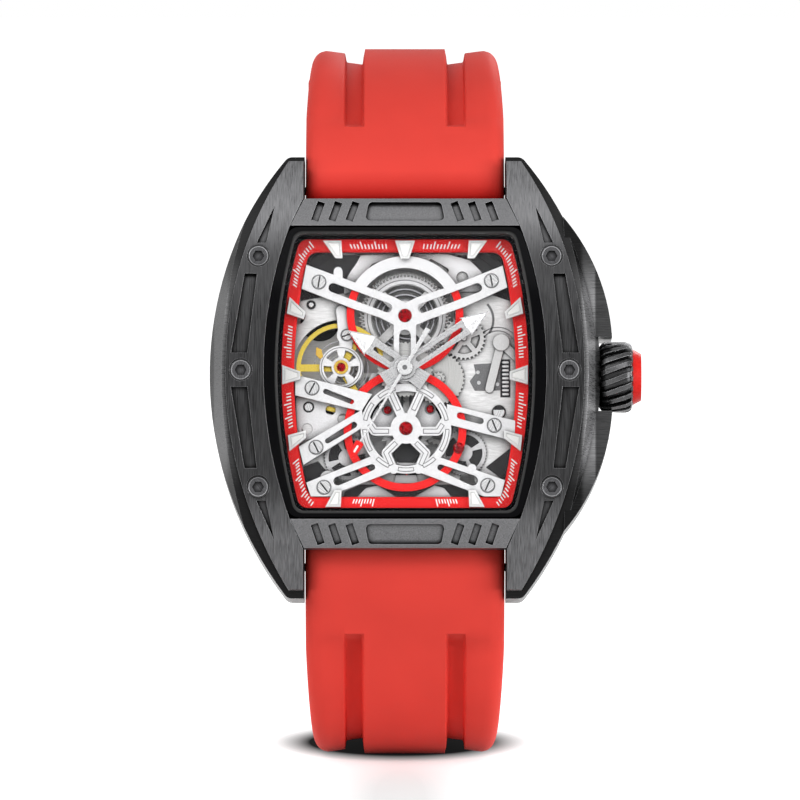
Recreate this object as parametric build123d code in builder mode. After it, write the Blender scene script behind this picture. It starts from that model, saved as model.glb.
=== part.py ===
"""A tonneau wrist watch: bowed case with bolted rails, open-worked movement, rubber strap.

Millimetres. The dial faces -Y and 12 o'clock is +Z. The origin is on the flat face of the case
back, at the middle of the case. A height is a distance from that face towards the viewer, so the
plane at height h is Plane.XZ.offset(h).
"""

import math
import os

from build123d import *

os.makedirs("parts", exist_ok=True)

# Driving sizes of the case
case_width = 43.0
case_length = 49.0
case_side_radius = 39.3
case_height = 14.4
strap_width = 22.0
rail_width = 39.4
rail_side_radius = 44.2
inner_ring_width = 31.0
inner_ring_side_radius = 47.4
bezel_opening_length = 32.2
crystal_width = 28.0
crystal_length = 30.6
crystal_side_radius = 56.5
crystal_corner = 1.2
crest_radius = 55.0
bezel_thickness = 2.2

# Sizes that more than one piece follows
clearance = 0.1
running_clearance = 0.15
overrun = 1.0
plate_radius = 15.3
movement_bore_radius = 16.2
stem_height = 6.2


def write(part, name):
    """Labels a finished piece and writes its file."""
    part.part.label = name
    export_step(part.part, f"parts/{name}.step")


def bowed_x(width, radius, z):
    """Half the width of a bowed outline at the height z."""
    return width / 2 - radius + math.sqrt(radius**2 - z**2)


def tonneau(width, length, radius, corner=0):
    """The outline of a barrel: bowed sides and straight ends."""
    end_x = bowed_x(width, radius, length / 2)
    with BuildSketch() as outline:
        with BuildLine():
            ThreePointArc((end_x, -length / 2), (width / 2, 0), (end_x, length / 2))
            Line((end_x, length / 2), (-end_x, length / 2))
            ThreePointArc((-end_x, length / 2), (-width / 2, 0), (-end_x, -length / 2))
            Line((-end_x, -length / 2), (end_x, -length / 2))
        make_face()
        if corner:
            fillet(outline.vertices(), corner)
    return outline.sketch


def crest_drop(radius, z):
    """How far a surface bowed about X falls from its crest at the height z."""
    return radius - math.sqrt(radius**2 - z**2)


def crest_band(low, high, half_length):
    """The side view of a layer that follows the bowed front, between two heights at the crest."""
    top_radius = crest_radius - (case_height - high)
    low_radius = crest_radius - (case_height - low)
    top_end = high - crest_drop(top_radius, half_length)
    low_end = low - crest_drop(low_radius, half_length)
    with BuildSketch() as band:
        with BuildLine():
            ThreePointArc((-top_end, -half_length), (-high, 0), (-top_end, half_length))
            Line((-top_end, half_length), (-low_end, half_length))
            ThreePointArc((-low_end, half_length), (-low, 0), (-low_end, -half_length))
            Line((-low_end, -half_length), (-top_end, -half_length))
        make_face()
    return band.sketch


def toothed(teeth, tip_radius, root_radius, tip_share, foot_share):
    """A wheel's outline. The shares are the widths of a tooth, in parts of the pitch."""
    points = []
    for tooth in range(teeth):
        corners = (
            (root_radius, -foot_share / 2),
            (tip_radius, -tip_share / 2),
            (tip_radius, tip_share / 2),
            (root_radius, foot_share / 2),
        )
        for radius, share in corners:
            angle = math.tau * (tooth + share) / teeth
            points.append((radius * math.cos(angle), radius * math.sin(angle)))
    with BuildSketch() as outline:
        Polygon(*points, align=None)
    return outline.sketch


def pointed(teeth, tip_radius, root_radius, lean_share=0):
    """A wheel's outline with pointed teeth. The lean is in parts of the pitch."""
    points = []
    for tooth in range(teeth):
        for radius, share in ((root_radius, -0.5), (tip_radius, lean_share)):
            angle = math.tau * (tooth + share) / teeth
            points.append((radius * math.cos(angle), radius * math.sin(angle)))
    with BuildSketch() as outline:
        Polygon(*points, align=None)
    return outline.sketch


def bar_outline(start, end, width):
    """A straight bar with round ends, between two points."""
    reach = math.dist(start, end)
    angle = math.degrees(math.atan2(end[1] - start[1], end[0] - start[0]))
    middle = ((start[0] + end[0]) / 2, (start[1] + end[1]) / 2)
    with BuildSketch() as outline:
        with Locations(Location((middle[0], middle[1], 0), (0, 0, angle))):
            SlotCenterToCenter(reach, width)
    return outline.sketch


def tapered_bar(start, end, start_width, end_width):
    """A straight bar that widens from one flat end to the other."""
    reach = math.dist(start, end)
    along = ((end[0] - start[0]) / reach, (end[1] - start[1]) / reach)
    corners = []
    for point, width, side in (
        (start, start_width, 1),
        (start, start_width, -1),
        (end, end_width, -1),
        (end, end_width, 1),
    ):
        offset = side * width / 2
        corners.append((point[0] - along[1] * offset, point[1] + along[0] * offset))
    with BuildSketch() as outline:
        Polygon(*corners, align=None)
    return outline.sketch


def disc(place, radius, low, high, mode=Mode.ADD):
    """A round layer between two heights, in the part being built."""
    with BuildSketch(Plane.XZ.offset(low)) as outline:
        with Locations(place):
            Circle(radius)
    extrude(outline.sketch, amount=high - low, mode=mode)


def layer(outline, low, high, mode=Mode.ADD):
    """An outline as a layer between two heights, in the part being built."""
    with BuildSketch(Plane.XZ.offset(low)) as lifted:
        add(outline)
    extrude(lifted.sketch, amount=high - low, mode=mode)


def placed(outline, place, angle=0):
    """An outline moved to its place in front view."""
    return Location((place[0], place[1], 0), (0, 0, angle)) * outline


# Case middle
rail_crest = case_height
deck_crest = rail_crest - bezel_thickness
case_floor = 1.4
underside_radius = 165.0
flank_height = 9.4
flank_taper = 26.0
lug_tip_round = 1.0
ledge_height = 8.7
chapter_width = 27.8
chapter_length = 30.3
lug_gap = strap_width + 2 * clearance
strap_end_radius = 3.1
spring_bar_z = 20.9
spring_bar_height = 4.6
spring_bar_radius = 0.75
spring_bar_tip_radius = 0.45
spring_bar_tip_length = 1.2
strap_pocket_z = spring_bar_z - strap_end_radius - 2 * running_clearance
rail_bolt_places = ((16.1, 12.74), (18.0, 0.0), (16.1, -12.74))
bolt_head_radius = 1.2
bolt_head_height = 0.9
bolt_head_crest_gap = 0.15
bolt_shank_radius = 0.6
bolt_shank_length = 4.2
crown_tube_radius = 1.6
crown_guard_height = 7.0
crown_guard_low = 3.0
crown_guard_inner_z = 4.1
crown_guard_outer_z = 17.4
crown_guard_reach = 22.8
crown_guard_foot = 18.0
crown_guard_swell = 2.0
back_thickness = 1.8
back_width = 37.2
back_length = 33.0
back_side_radius = 60.0
back_screw_corner = ((13.5, 13.5), (17.4, 4.6))
back_screw_shank_radius = 0.5
back_screw_length = 3.4
back_screw_places = [(i * x, j * z) for x, z in back_screw_corner for i in (1, -1) for j in (1, -1)]
back_outline = tonneau(back_width, back_length, back_side_radius, crystal_corner)
back_seat_outline = tonneau(
    back_width + 2 * clearance, back_length + 2 * clearance, back_side_radius, crystal_corner
)


def bolt_seat_height(place):
    """The height of the flat under a bolt's head, below the bowed front."""
    return rail_crest - crest_drop(crest_radius, place[1]) - bolt_head_height - bolt_head_crest_gap


bolt_places = [(side * x, z) for x, z in rail_bolt_places for side in (-1, 1)]
case_outline = tonneau(case_width, case_length, case_side_radius, lug_tip_round)
cavity_outline = tonneau(
    chapter_width + 2 * clearance, chapter_length + 2 * clearance, crystal_side_radius, crystal_corner
)
guard_x = bowed_x(case_width, case_side_radius, crown_guard_inner_z)
guard_foot_x = bowed_x(case_width, case_side_radius, crown_guard_outer_z)
guard_middle_x = (guard_x + guard_foot_x) / 2 + crown_guard_swell
guard_middle_z = (crown_guard_inner_z + crown_guard_outer_z) / 2

with BuildPart() as case_middle:
    with BuildSketch(Plane.XZ):
        add(case_outline)
    extrude(amount=flank_height)
    with BuildSketch(Plane.XZ.offset(flank_height)):
        add(case_outline)
    extrude(amount=case_height - flank_height, taper=flank_taper)
    # The front and the underside are bowed about X
    deck_end = deck_crest - crest_drop(crest_radius - bezel_thickness, case_length / 2)
    floor_end = case_floor - crest_drop(underside_radius, case_length / 2)
    with BuildSketch(Plane.YZ):
        with BuildLine():
            ThreePointArc((-deck_end, -case_length / 2), (-deck_crest, 0), (-deck_end, case_length / 2))
            Line((-deck_end, case_length / 2), (-floor_end, case_length / 2))
            ThreePointArc((-floor_end, case_length / 2), (-case_floor, 0), (-floor_end, -case_length / 2))
            Line((-floor_end, -case_length / 2), (-deck_end, -case_length / 2))
        make_face()
    extrude(amount=case_width, both=True, mode=Mode.INTERSECT)
    # Crown guards grow out of the right flank on either side of the crown
    with BuildSketch(Plane.XZ.offset(crown_guard_low)):
        for side in (1, -1):
            with BuildLine():
                foot = (crown_guard_foot, side * crown_guard_inner_z)
                near_crown = (crown_guard_reach, side * crown_guard_inner_z)
                near_lug = (guard_foot_x, side * crown_guard_outer_z)
                Line(foot, near_crown)
                ThreePointArc(near_crown, (guard_middle_x, side * guard_middle_z), near_lug)
                Line(near_lug, foot)
            make_face()
    extrude(amount=crown_guard_height)
    # Movement bore, front opening and seat of the case back
    with BuildSketch(Plane.XZ):
        Circle(movement_bore_radius)
    extrude(amount=ledge_height, mode=Mode.SUBTRACT)
    with BuildSketch(Plane.XZ.offset(ledge_height)):
        add(cavity_outline)
    extrude(amount=case_height, mode=Mode.SUBTRACT)
    # Seat of the case back, and tapped holes for its screws
    layer(back_seat_outline, 0, back_thickness, Mode.SUBTRACT)
    for place in back_screw_places:
        disc(place, back_screw_shank_radius + clearance / 2, 0, back_screw_length + clearance, Mode.SUBTRACT)
    # Strap pockets between the lugs
    pocket_length = case_length / 2 - strap_pocket_z + overrun
    with BuildSketch(Plane.XZ):
        with Locations((0, strap_pocket_z + pocket_length / 2), (0, -strap_pocket_z - pocket_length / 2)):
            Rectangle(lug_gap, pocket_length)
    extrude(amount=case_height, mode=Mode.SUBTRACT)
    # Spring bar holes go blind into the lugs
    for side in (1, -1):
        with BuildSketch(Plane.YZ):
            with Locations((-spring_bar_height, side * spring_bar_z)):
                Circle(spring_bar_tip_radius + clearance / 2)
        extrude(amount=lug_gap / 2 + spring_bar_tip_length - clearance, both=True, mode=Mode.SUBTRACT)
    # Bore for the crown tube
    with BuildSketch(Plane.YZ.offset(movement_bore_radius - overrun)):
        with Locations((-stem_height, 0)):
            Circle(crown_tube_radius)
    extrude(amount=case_width, mode=Mode.SUBTRACT)
    # Tapped holes for the bezel bolts
    for place in bolt_places:
        with BuildSketch(Plane.XZ.offset(bolt_seat_height(place) - bolt_shank_length - clearance)):
            with Locations(place):
                Circle(bolt_shank_radius + clearance / 2)
        extrude(amount=case_height, mode=Mode.SUBTRACT)
write(case_middle, "case_middle")

# Bezel rails, with two spear recesses and two long recesses in each
rail_length = 47.4
rail_lug_z = 19.4
bar_side_z = 16.1
bar_side_x = bowed_x(inner_ring_width, inner_ring_side_radius, bar_side_z)
recess_depth = 0.6
rail_inner_x = lug_gap / 2 + clearance
# Corners of a rail's recesses above its middle, as x and z
spear_recess = ((14.34, 18.48), (15.25, 14.23), (16.3, 14.23))
panel_recess = ((17.6, 10.73), (16.24, 10.73), (17.27, 1.87), (19.08, 1.87))


def rail_outline(side):
    """The outline of the rail on one side: 1 is at 3 o'clock, -1 at 9 o'clock."""
    tip_x = bowed_x(rail_width, rail_side_radius, rail_length / 2)
    with BuildSketch() as outline:
        with BuildLine():
            ThreePointArc(
                (side * tip_x, -rail_length / 2), (side * rail_width / 2, 0), (side * tip_x, rail_length / 2)
            )
            for end in (1, -1):
                Polyline(
                    (side * tip_x, end * rail_length / 2),
                    (side * rail_inner_x, end * rail_length / 2),
                    (side * rail_inner_x, end * rail_lug_z),
                    (side * bar_side_x, end * bar_side_z),
                )
            ThreePointArc(
                (side * bar_side_x, bar_side_z),
                (side * (inner_ring_width / 2), 0),
                (side * bar_side_x, -bar_side_z),
            )
        make_face()
    return outline.sketch


def rail_recesses(side):
    """The recesses of one rail, seen from the front."""
    with BuildSketch() as outline:
        for end in (1, -1):
            Polygon(*[(side * x, end * z) for x, z in spear_recess], align=None)
            Polygon(*[(side * x, end * z) for x, z in panel_recess], align=None)
    return outline.sketch


for side, name in ((-1, "bezel_rail_left"), (1, "bezel_rail_right")):
    with BuildPart() as recess_space:
        with BuildSketch(Plane.XZ):
            add(rail_recesses(side))
        extrude(amount=case_height)
        with BuildSketch(Plane.YZ):
            add(crest_band(rail_crest - recess_depth, rail_crest + overrun, case_length / 2))
        extrude(amount=case_width, both=True, mode=Mode.INTERSECT)
    with BuildPart() as rail:
        with BuildSketch(Plane.XZ):
            add(rail_outline(side))
        extrude(amount=case_height)
        with BuildSketch(Plane.YZ):
            add(crest_band(deck_crest, rail_crest, case_length / 2))
        extrude(amount=case_width, both=True, mode=Mode.INTERSECT)
        add(recess_space.part, mode=Mode.SUBTRACT)
        for place in bolt_places:
            if place[0] * side > 0:
                with BuildSketch(Plane.XZ):
                    with Locations(place):
                        Circle(bolt_shank_radius + clearance / 2)
                extrude(amount=case_height, mode=Mode.SUBTRACT)
                with BuildSketch(Plane.XZ.offset(bolt_seat_height(place))):
                    with Locations(place):
                        Circle(bolt_head_radius + clearance / 2)
                extrude(amount=case_height, mode=Mode.SUBTRACT)
    write(rail, name)

# Bezel bolts with hexagon sockets
socket_radius = 0.66
socket_depth = 0.55
with BuildPart() as bezel_bolts:
    for place in bolt_places:
        seat = bolt_seat_height(place)
        with BuildSketch(Plane.XZ.offset(seat - bolt_shank_length)):
            with Locations(place):
                Circle(bolt_shank_radius)
        extrude(amount=bolt_shank_length)
        with BuildSketch(Plane.XZ.offset(seat)):
            with Locations(place):
                Circle(bolt_head_radius)
        extrude(amount=bolt_head_height)
        with BuildSketch(Plane.XZ.offset(seat + bolt_head_height - socket_depth)):
            with Locations(place):
                RegularPolygon(socket_radius, 6)
        extrude(amount=socket_depth, mode=Mode.SUBTRACT)
write(bezel_bolts, "bezel_bolts")

# Bars over the strap, each with a shallow tray and three slanted slots on either side
bar_gap = 0.1
bar_inner_z = bezel_opening_length / 2 + bar_gap
bar_outer_z = 19.3
bar_inner_half = bar_side_x - bar_gap
bar_outer_half = lug_gap / 2
tray_inner_half = 4.4
tray_outer_half = 4.0
tray_inner_z = 16.75
tray_outer_z = 18.9
tray_corner = 0.5
slot_width = 0.85
slot_outer_x = (5.4, 7.3, 9.2)
slot_lean = 0.75
for side, name in ((1, "bezel_end_top"), (-1, "bezel_end_bottom")):
    with BuildPart() as relief_space:
        with BuildSketch(Plane.XZ):
            with BuildSketch(mode=Mode.PRIVATE) as tray:
                Polygon(
                    (-tray_inner_half, side * tray_inner_z),
                    (tray_inner_half, side * tray_inner_z),
                    (tray_outer_half, side * tray_outer_z),
                    (-tray_outer_half, side * tray_outer_z),
                    align=None,
                )
                fillet(tray.vertices(), tray_corner)
            add(tray.sketch)
            for x in slot_outer_x:
                for flip in (1, -1):
                    add(
                        tapered_bar(
                            (flip * x, side * tray_outer_z),
                            (flip * (x + slot_lean), side * tray_inner_z),
                            slot_width,
                            slot_width,
                        )
                    )
        extrude(amount=case_height)
        with BuildSketch(Plane.YZ):
            add(crest_band(rail_crest - recess_depth, rail_crest + overrun, case_length / 2))
        extrude(amount=case_width, both=True, mode=Mode.INTERSECT)
    with BuildPart() as end_bar:
        with BuildSketch(Plane.XZ):
            Polygon(
                (-bar_inner_half, side * bar_inner_z),
                (bar_inner_half, side * bar_inner_z),
                (bar_outer_half, side * bar_outer_z),
                (-bar_outer_half, side * bar_outer_z),
                align=None,
            )
        extrude(amount=case_height)
        with BuildSketch(Plane.YZ):
            add(crest_band(deck_crest, rail_crest, case_length / 2))
        extrude(amount=case_width, both=True, mode=Mode.INTERSECT)
        add(relief_space.part, mode=Mode.SUBTRACT)
    write(end_bar, name)

# Gloss inner ring: a rim with a ledge under the crystal
crystal_thickness = 1.6
crystal_crest = rail_crest - 0.2
crystal_floor_crest = crystal_crest - crystal_thickness
gasket_width = 0.3
ring_gap = 0.1
ledge_width = 0.45
ring_outline = tonneau(
    inner_ring_width - 2 * ring_gap,
    bezel_opening_length - 2 * ring_gap,
    inner_ring_side_radius,
    crystal_corner + ring_gap,
)
seat_outline = tonneau(
    crystal_width + 2 * gasket_width, crystal_length + 2 * gasket_width, crystal_side_radius, crystal_corner
)
sight_outline = tonneau(
    crystal_width - 2 * ledge_width, crystal_length - 2 * ledge_width, crystal_side_radius, crystal_corner
)
crystal_outline = tonneau(crystal_width, crystal_length, crystal_side_radius, crystal_corner)
with BuildPart() as crystal_space:
    with BuildSketch(Plane.XZ):
        add(seat_outline)
    extrude(amount=case_height)
    with BuildSketch(Plane.YZ):
        add(crest_band(crystal_floor_crest, rail_crest + overrun, case_length / 2))
    extrude(amount=case_width, both=True, mode=Mode.INTERSECT)
with BuildPart() as bezel_inner_ring:
    with BuildSketch(Plane.XZ):
        add(ring_outline)
        add(sight_outline, mode=Mode.SUBTRACT)
    extrude(amount=case_height)
    with BuildSketch(Plane.YZ):
        add(crest_band(deck_crest, rail_crest, case_length / 2))
    extrude(amount=case_width, both=True, mode=Mode.INTERSECT)
    add(crystal_space.part, mode=Mode.SUBTRACT)
write(bezel_inner_ring, "bezel_inner_ring")

with BuildPart() as crystal:
    with BuildSketch(Plane.XZ):
        add(crystal_outline)
    extrude(amount=case_height)
    with BuildSketch(Plane.YZ):
        add(crest_band(crystal_floor_crest, crystal_crest, case_length / 2))
    extrude(amount=case_width, both=True, mode=Mode.INTERSECT)
write(crystal, "crystal")

with BuildPart() as crystal_gasket:
    with BuildSketch(Plane.XZ):
        add(seat_outline)
        add(crystal_outline, mode=Mode.SUBTRACT)
    extrude(amount=case_height)
    with BuildSketch(Plane.YZ):
        add(crest_band(crystal_floor_crest, crystal_crest, case_length / 2))
    extrude(amount=case_width, both=True, mode=Mode.INTERSECT)
write(crystal_gasket, "crystal_gasket")

# Case back: a screwed plate with a glass, whose raised rim centres it in the movement bore
back_window_radius = 11.5
back_glass_thickness = 0.9
back_glass_ledge = 0.8
back_screw_radius = 0.9
back_screw_head = 0.6
back_rim_height = 0.6
back_rim_width = 1.2
back_glass_low = 0.5
with BuildPart() as case_back:
    layer(back_outline, 0, back_thickness)
    disc((0, 0), movement_bore_radius - clearance, back_thickness, back_thickness + back_rim_height)
    disc(
        (0, 0),
        movement_bore_radius - clearance - back_rim_width,
        back_thickness,
        back_thickness + back_rim_height,
        Mode.SUBTRACT,
    )
    disc((0, 0), back_window_radius, 0, back_thickness, Mode.SUBTRACT)
    disc((0, 0), back_window_radius + back_glass_ledge, back_glass_low, back_thickness, Mode.SUBTRACT)
    for place in back_screw_places:
        disc(place, back_screw_shank_radius + clearance, 0, back_thickness, Mode.SUBTRACT)
        disc(place, back_screw_radius + clearance / 2, 0, back_screw_head + clearance, Mode.SUBTRACT)
write(case_back, "case_back")

with BuildPart() as back_crystal:
    disc((0, 0), back_window_radius - clearance / 2, 0, back_glass_low)
    disc(
        (0, 0),
        back_window_radius + back_glass_ledge - clearance / 2,
        back_glass_low,
        back_glass_low + back_glass_thickness,
    )
write(back_crystal, "back_crystal")

screw_slot_width = 0.22
screw_slot_depth = 0.2
with BuildPart() as case_back_screws:
    for place in back_screw_places:
        disc(place, back_screw_radius, clearance, back_screw_head + clearance)
        disc(place, back_screw_shank_radius, back_screw_head, back_screw_length)
        with BuildSketch(Plane.XZ.offset(clearance)):
            with Locations(place):
                Rectangle(2 * back_screw_radius, screw_slot_width)
        extrude(amount=screw_slot_depth, mode=Mode.SUBTRACT)
write(case_back_screws, "case_back_screws")

# Chapter ring with a bevelled inner edge, and its eleven applied markers
chapter_inner_width = 24.4
chapter_inner_length = 27.1
chapter_inner_radius = 58.2
chapter_height = 9.6
chapter_bevel = 0.25
chapter_outer = tonneau(chapter_width, chapter_length, crystal_side_radius, crystal_corner)
chapter_inner = tonneau(chapter_inner_width, chapter_inner_length, chapter_inner_radius, crystal_corner)
with BuildPart() as chapter_ring:
    with BuildSketch(Plane.XZ.offset(ledge_height)):
        add(chapter_outer)
        add(chapter_inner, mode=Mode.SUBTRACT)
    extrude(amount=chapter_height - ledge_height)
    chamfer(chapter_ring.faces().sort_by(Axis.Y)[0].inner_wires().edges(), chapter_bevel)
write(chapter_ring, "chapter_ring")

marker_height = 0.7
marker_frame = 0.22
lume_depth = 0.2
# Corners of the markers on the left, as x and z
side_markers = (
    ((-9.03, 14.72), (-7.02, 14.72), (-6.88, 12.79), (-7.66, 12.79)),
    ((-12.7, 8.47), (-13.0, 6.66), (-11.14, 6.02), (-10.96, 6.82)),
    ((-13.5, 0.94), (-13.5, -1.17), (-11.52, -0.62), (-11.52, 0.22)),
    ((-12.87, -6.82), (-12.69, -8.55), (-10.89, -7.1), (-10.89, -6.27)),
    ((-8.75, -14.72), (-7.06, -14.72), (-6.96, -12.87), (-7.75, -12.87)),
)
top_marker = ((-1.09, 14.72), (1.09, 14.72), (0.45, 12.73), (-0.45, 12.73))
markers = [top_marker] + [[(i * x, z) for x, z in marker] for marker in side_markers for i in (1, -1)]
with BuildPart() as hour_markers:
    for marker in markers:
        with BuildSketch(Plane.XZ.offset(chapter_height)):
            Polygon(*marker, align=None)
        extrude(amount=marker_height)
        with BuildSketch(Plane.XZ.offset(chapter_height + marker_height - lume_depth)):
            Polygon(*marker, align=None)
            offset(amount=-marker_frame, kind=Kind.INTERSECTION, mode=Mode.REPLACE)
        extrude(amount=lume_depth, mode=Mode.SUBTRACT)
write(hour_markers, "hour_markers")

# Crown: a grooved grip with a cap, on a stem that slides in the tube
crown_inner_x = 21.9
crown_outer_x = 25.1
crown_radius = 3.9
crown_grooves = 16
crown_groove_radius = 0.42
crown_edge = 0.35
crown_cap_length = 0.95
crown_cap_radius = 3.1
crown_cap_end_radius = 2.6
crown_tube_bore = 0.85
crown_tube_inner_x = 16.4
crown_tube_outer_x = 22.7
crown_well_depth = 1.3
stem_radius = 0.55
stem_inner_x = 8.9
stem_grip = 2.2
stem_hole_radius = stem_radius + clearance / 4


def rod(radius, start_x, end_x, z=0, height=stem_height, mode=Mode.ADD):
    """A round bar along X, in the part being built."""
    with BuildSketch(Plane.YZ.offset(start_x)) as end_face:
        with Locations((-height, z)):
            Circle(radius)
    extrude(end_face.sketch, amount=end_x - start_x, mode=mode)


with BuildPart() as crown_tube:
    rod(crown_tube_radius - clearance / 2, crown_tube_inner_x, crown_tube_outer_x)
    rod(crown_tube_bore, crown_tube_inner_x, crown_tube_outer_x, mode=Mode.SUBTRACT)
write(crown_tube, "crown_tube")

with BuildPart() as crown:
    rod(crown_radius, crown_inner_x, crown_outer_x)
    chamfer(crown.edges().filter_by(GeomType.CIRCLE), crown_edge)
    with BuildSketch(Plane.YZ.offset(crown_inner_x)):
        with Locations((-stem_height, 0)):
            with PolarLocations(crown_radius, crown_grooves):
                Circle(crown_groove_radius)
    extrude(amount=crown_outer_x - crown_inner_x, mode=Mode.SUBTRACT)
    well_radius = crown_tube_radius + running_clearance
    rod(well_radius, crown_inner_x, crown_inner_x + crown_well_depth, mode=Mode.SUBTRACT)
    rod(stem_hole_radius, crown_inner_x, crown_inner_x + stem_grip + clearance, mode=Mode.SUBTRACT)
write(crown, "crown")

with BuildPart() as crown_cap:
    with BuildSketch(Plane.YZ.offset(crown_outer_x)):
        with Locations((-stem_height, 0)):
            Circle(crown_cap_radius)
    with BuildSketch(Plane.YZ.offset(crown_outer_x + crown_cap_length)):
        with Locations((-stem_height, 0)):
            Circle(crown_cap_end_radius)
    loft()
write(crown_cap, "crown_cap")

# The stem has a groove for the setting lever, and a square for the sliding pinion
stem_square = 0.75
stem_square_end_x = 12.4
stem_groove_x = 13.4
stem_groove_width = 0.6
stem_groove_radius = 0.3
with BuildPart() as winding_stem:
    rod(stem_radius, stem_square_end_x, crown_inner_x + stem_grip)
    with BuildSketch(Plane.YZ.offset(stem_inner_x)):
        with Locations((-stem_height, 0)):
            Rectangle(stem_square, stem_square)
    extrude(amount=stem_square_end_x - stem_inner_x)
    rod(stem_radius + clearance, stem_groove_x, stem_groove_x + stem_groove_width, mode=Mode.SUBTRACT)
    rod(stem_groove_radius, stem_groove_x - clearance, stem_groove_x + stem_groove_width + clearance)
write(winding_stem, "winding_stem")

pinion_inner_x = 10.5
pinion_length = 1.1
pinion_radius = 1.15
pinion_root = 0.85
pinion_teeth = 12
with BuildPart() as sliding_pinion:
    with BuildSketch(Plane.YZ.offset(pinion_inner_x)):
        with Locations((-stem_height, 0)):
            add(pointed(pinion_teeth, pinion_radius, pinion_root))
            Rectangle(stem_square + clearance / 4, stem_square + clearance / 4, mode=Mode.SUBTRACT)
    extrude(amount=pinion_length)
write(sliding_pinion, "sliding_pinion")

# Strap: seen from the side, two arcs of each face meet at the crest of the loop
strap_crest_y = 19.5
strap_crest_z = 39.9
strap_thickness = 3.6
strap_back_radius = 30.0
strap_gap = 0.2
strap_half = strap_width / 2 - strap_gap + clearance
strap_end_half = 9.0
strap_taper_start_y = 8.0
strap_taper_end_y = 48.0
strap_middle_z = strap_crest_z - strap_thickness / 2
back_centre = (strap_crest_y, strap_middle_z - strap_back_radius)
buckle_angle = 62.0
tail_angle = 108.0
groove_inner_x = 4.8
groove_outer_x = 6.7
groove_depth = 1.4
groove_start_angle = 52.0
groove_end_angle = 26.0


def polar(centre, radius, angle):
    """A point in side view, at an angle from straight up towards the back."""
    turn = math.radians(angle)
    return (centre[0] + radius * math.sin(turn), centre[1] + radius * math.cos(turn))


def flip_z(point, side):
    """The same point on the lower half of the watch where side is -1."""
    return (point[0], side * point[1])


def strap_half_width(y):
    """Half the strap's width at the depth y."""
    share = (y - strap_taper_start_y) / (strap_taper_end_y - strap_taper_start_y)
    share = min(max(share, 0), 1)
    return strap_half + share * (strap_end_half - strap_half)


def front_arc(crest_z, bar_offset):
    """Radius, centre and end angle of the face that ends beside the spring bar, at that offset."""
    depth = strap_crest_y + spring_bar_height
    rise = crest_z - spring_bar_z
    radius = (depth**2 + rise**2 - bar_offset**2) / (2 * (rise - bar_offset))
    centre = (strap_crest_y, crest_z - radius)
    angle = math.degrees(math.atan2(-depth, spring_bar_z - centre[1]))
    return radius, centre, angle


outer_radius, outer_centre, outer_angle = front_arc(strap_crest_z, strap_end_radius)
inner_radius, inner_centre, inner_angle = front_arc(strap_crest_z - strap_thickness, -strap_end_radius)


def arc_through(centre, radius, start, end, side):
    """An arc in side view between two angles about a centre."""
    ThreePointArc(
        flip_z(polar(centre, radius, start), side),
        flip_z(polar(centre, radius, (start + end) / 2), side),
        flip_z(polar(centre, radius, end), side),
    )


def strap_side_view(side, end_angle):
    """The strap from the side, with round ends about the spring bar and at the end angle."""
    back_outer = strap_back_radius + strap_thickness / 2
    back_inner = strap_back_radius - strap_thickness / 2
    tip_angle = end_angle + math.degrees(strap_thickness / 2 / strap_back_radius)
    bar = (-spring_bar_height, spring_bar_z)
    lean = (outer_angle + inner_angle) / 2
    with BuildSketch() as outline:
        with BuildLine():
            arc_through(outer_centre, outer_radius, outer_angle, 0, side)
            arc_through(back_centre, back_outer, 0, end_angle, side)
            ThreePointArc(
                flip_z(polar(back_centre, back_outer, end_angle), side),
                flip_z(polar(back_centre, strap_back_radius, tip_angle), side),
                flip_z(polar(back_centre, back_inner, end_angle), side),
            )
            arc_through(back_centre, back_inner, end_angle, 0, side)
            arc_through(inner_centre, inner_radius, 0, inner_angle, side)
            ThreePointArc(
                flip_z(polar(inner_centre, inner_radius, inner_angle), side),
                flip_z(polar(bar, strap_end_radius, lean - 90), side),
                flip_z(polar(outer_centre, outer_radius, outer_angle), side),
            )
        make_face()
    return outline.sketch


def groove_side_view(side):
    """The section of a strap groove: a thin layer of the outer face on both sides of the crest."""
    back_outer = strap_back_radius + strap_thickness / 2
    with BuildSketch() as outline:
        with BuildLine():
            arc_through(outer_centre, outer_radius + overrun, -groove_start_angle, 0, side)
            arc_through(back_centre, back_outer + overrun, 0, groove_end_angle, side)
            Line(
                flip_z(polar(back_centre, back_outer + overrun, groove_end_angle), side),
                flip_z(polar(back_centre, back_outer - groove_depth, groove_end_angle), side),
            )
            arc_through(back_centre, back_outer - groove_depth, groove_end_angle, 0, side)
            arc_through(outer_centre, outer_radius - groove_depth, 0, -groove_start_angle, side)
            Line(
                flip_z(polar(outer_centre, outer_radius - groove_depth, -groove_start_angle), side),
                flip_z(polar(outer_centre, outer_radius + overrun, -groove_start_angle), side),
            )
        make_face()
    return outline.sketch


def back_ring(low, high, middle_angle, length):
    """A short piece of a ring about the centre of the upper strap's back arc, from the side."""
    half_angle = math.degrees(length / 2 / strap_back_radius)
    start = middle_angle - half_angle
    end = middle_angle + half_angle
    with BuildSketch() as outline:
        with BuildLine():
            arc_through(back_centre, high, start, end, 1)
            Line(polar(back_centre, high, end), polar(back_centre, low, end))
            arc_through(back_centre, low, end, start, 1)
            Line(polar(back_centre, low, start), polar(back_centre, high, start))
        make_face()
    return outline.sketch


with BuildSketch() as strap_plan:
    Polygon(
        (-strap_half, -case_height),
        (strap_half, -case_height),
        (strap_half, strap_taper_start_y),
        (strap_end_half, strap_taper_end_y),
        (strap_end_half, 2 * strap_taper_end_y),
        (-strap_end_half, 2 * strap_taper_end_y),
        (-strap_end_half, strap_taper_end_y),
        (-strap_half, strap_taper_start_y),
        align=None,
    )


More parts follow.
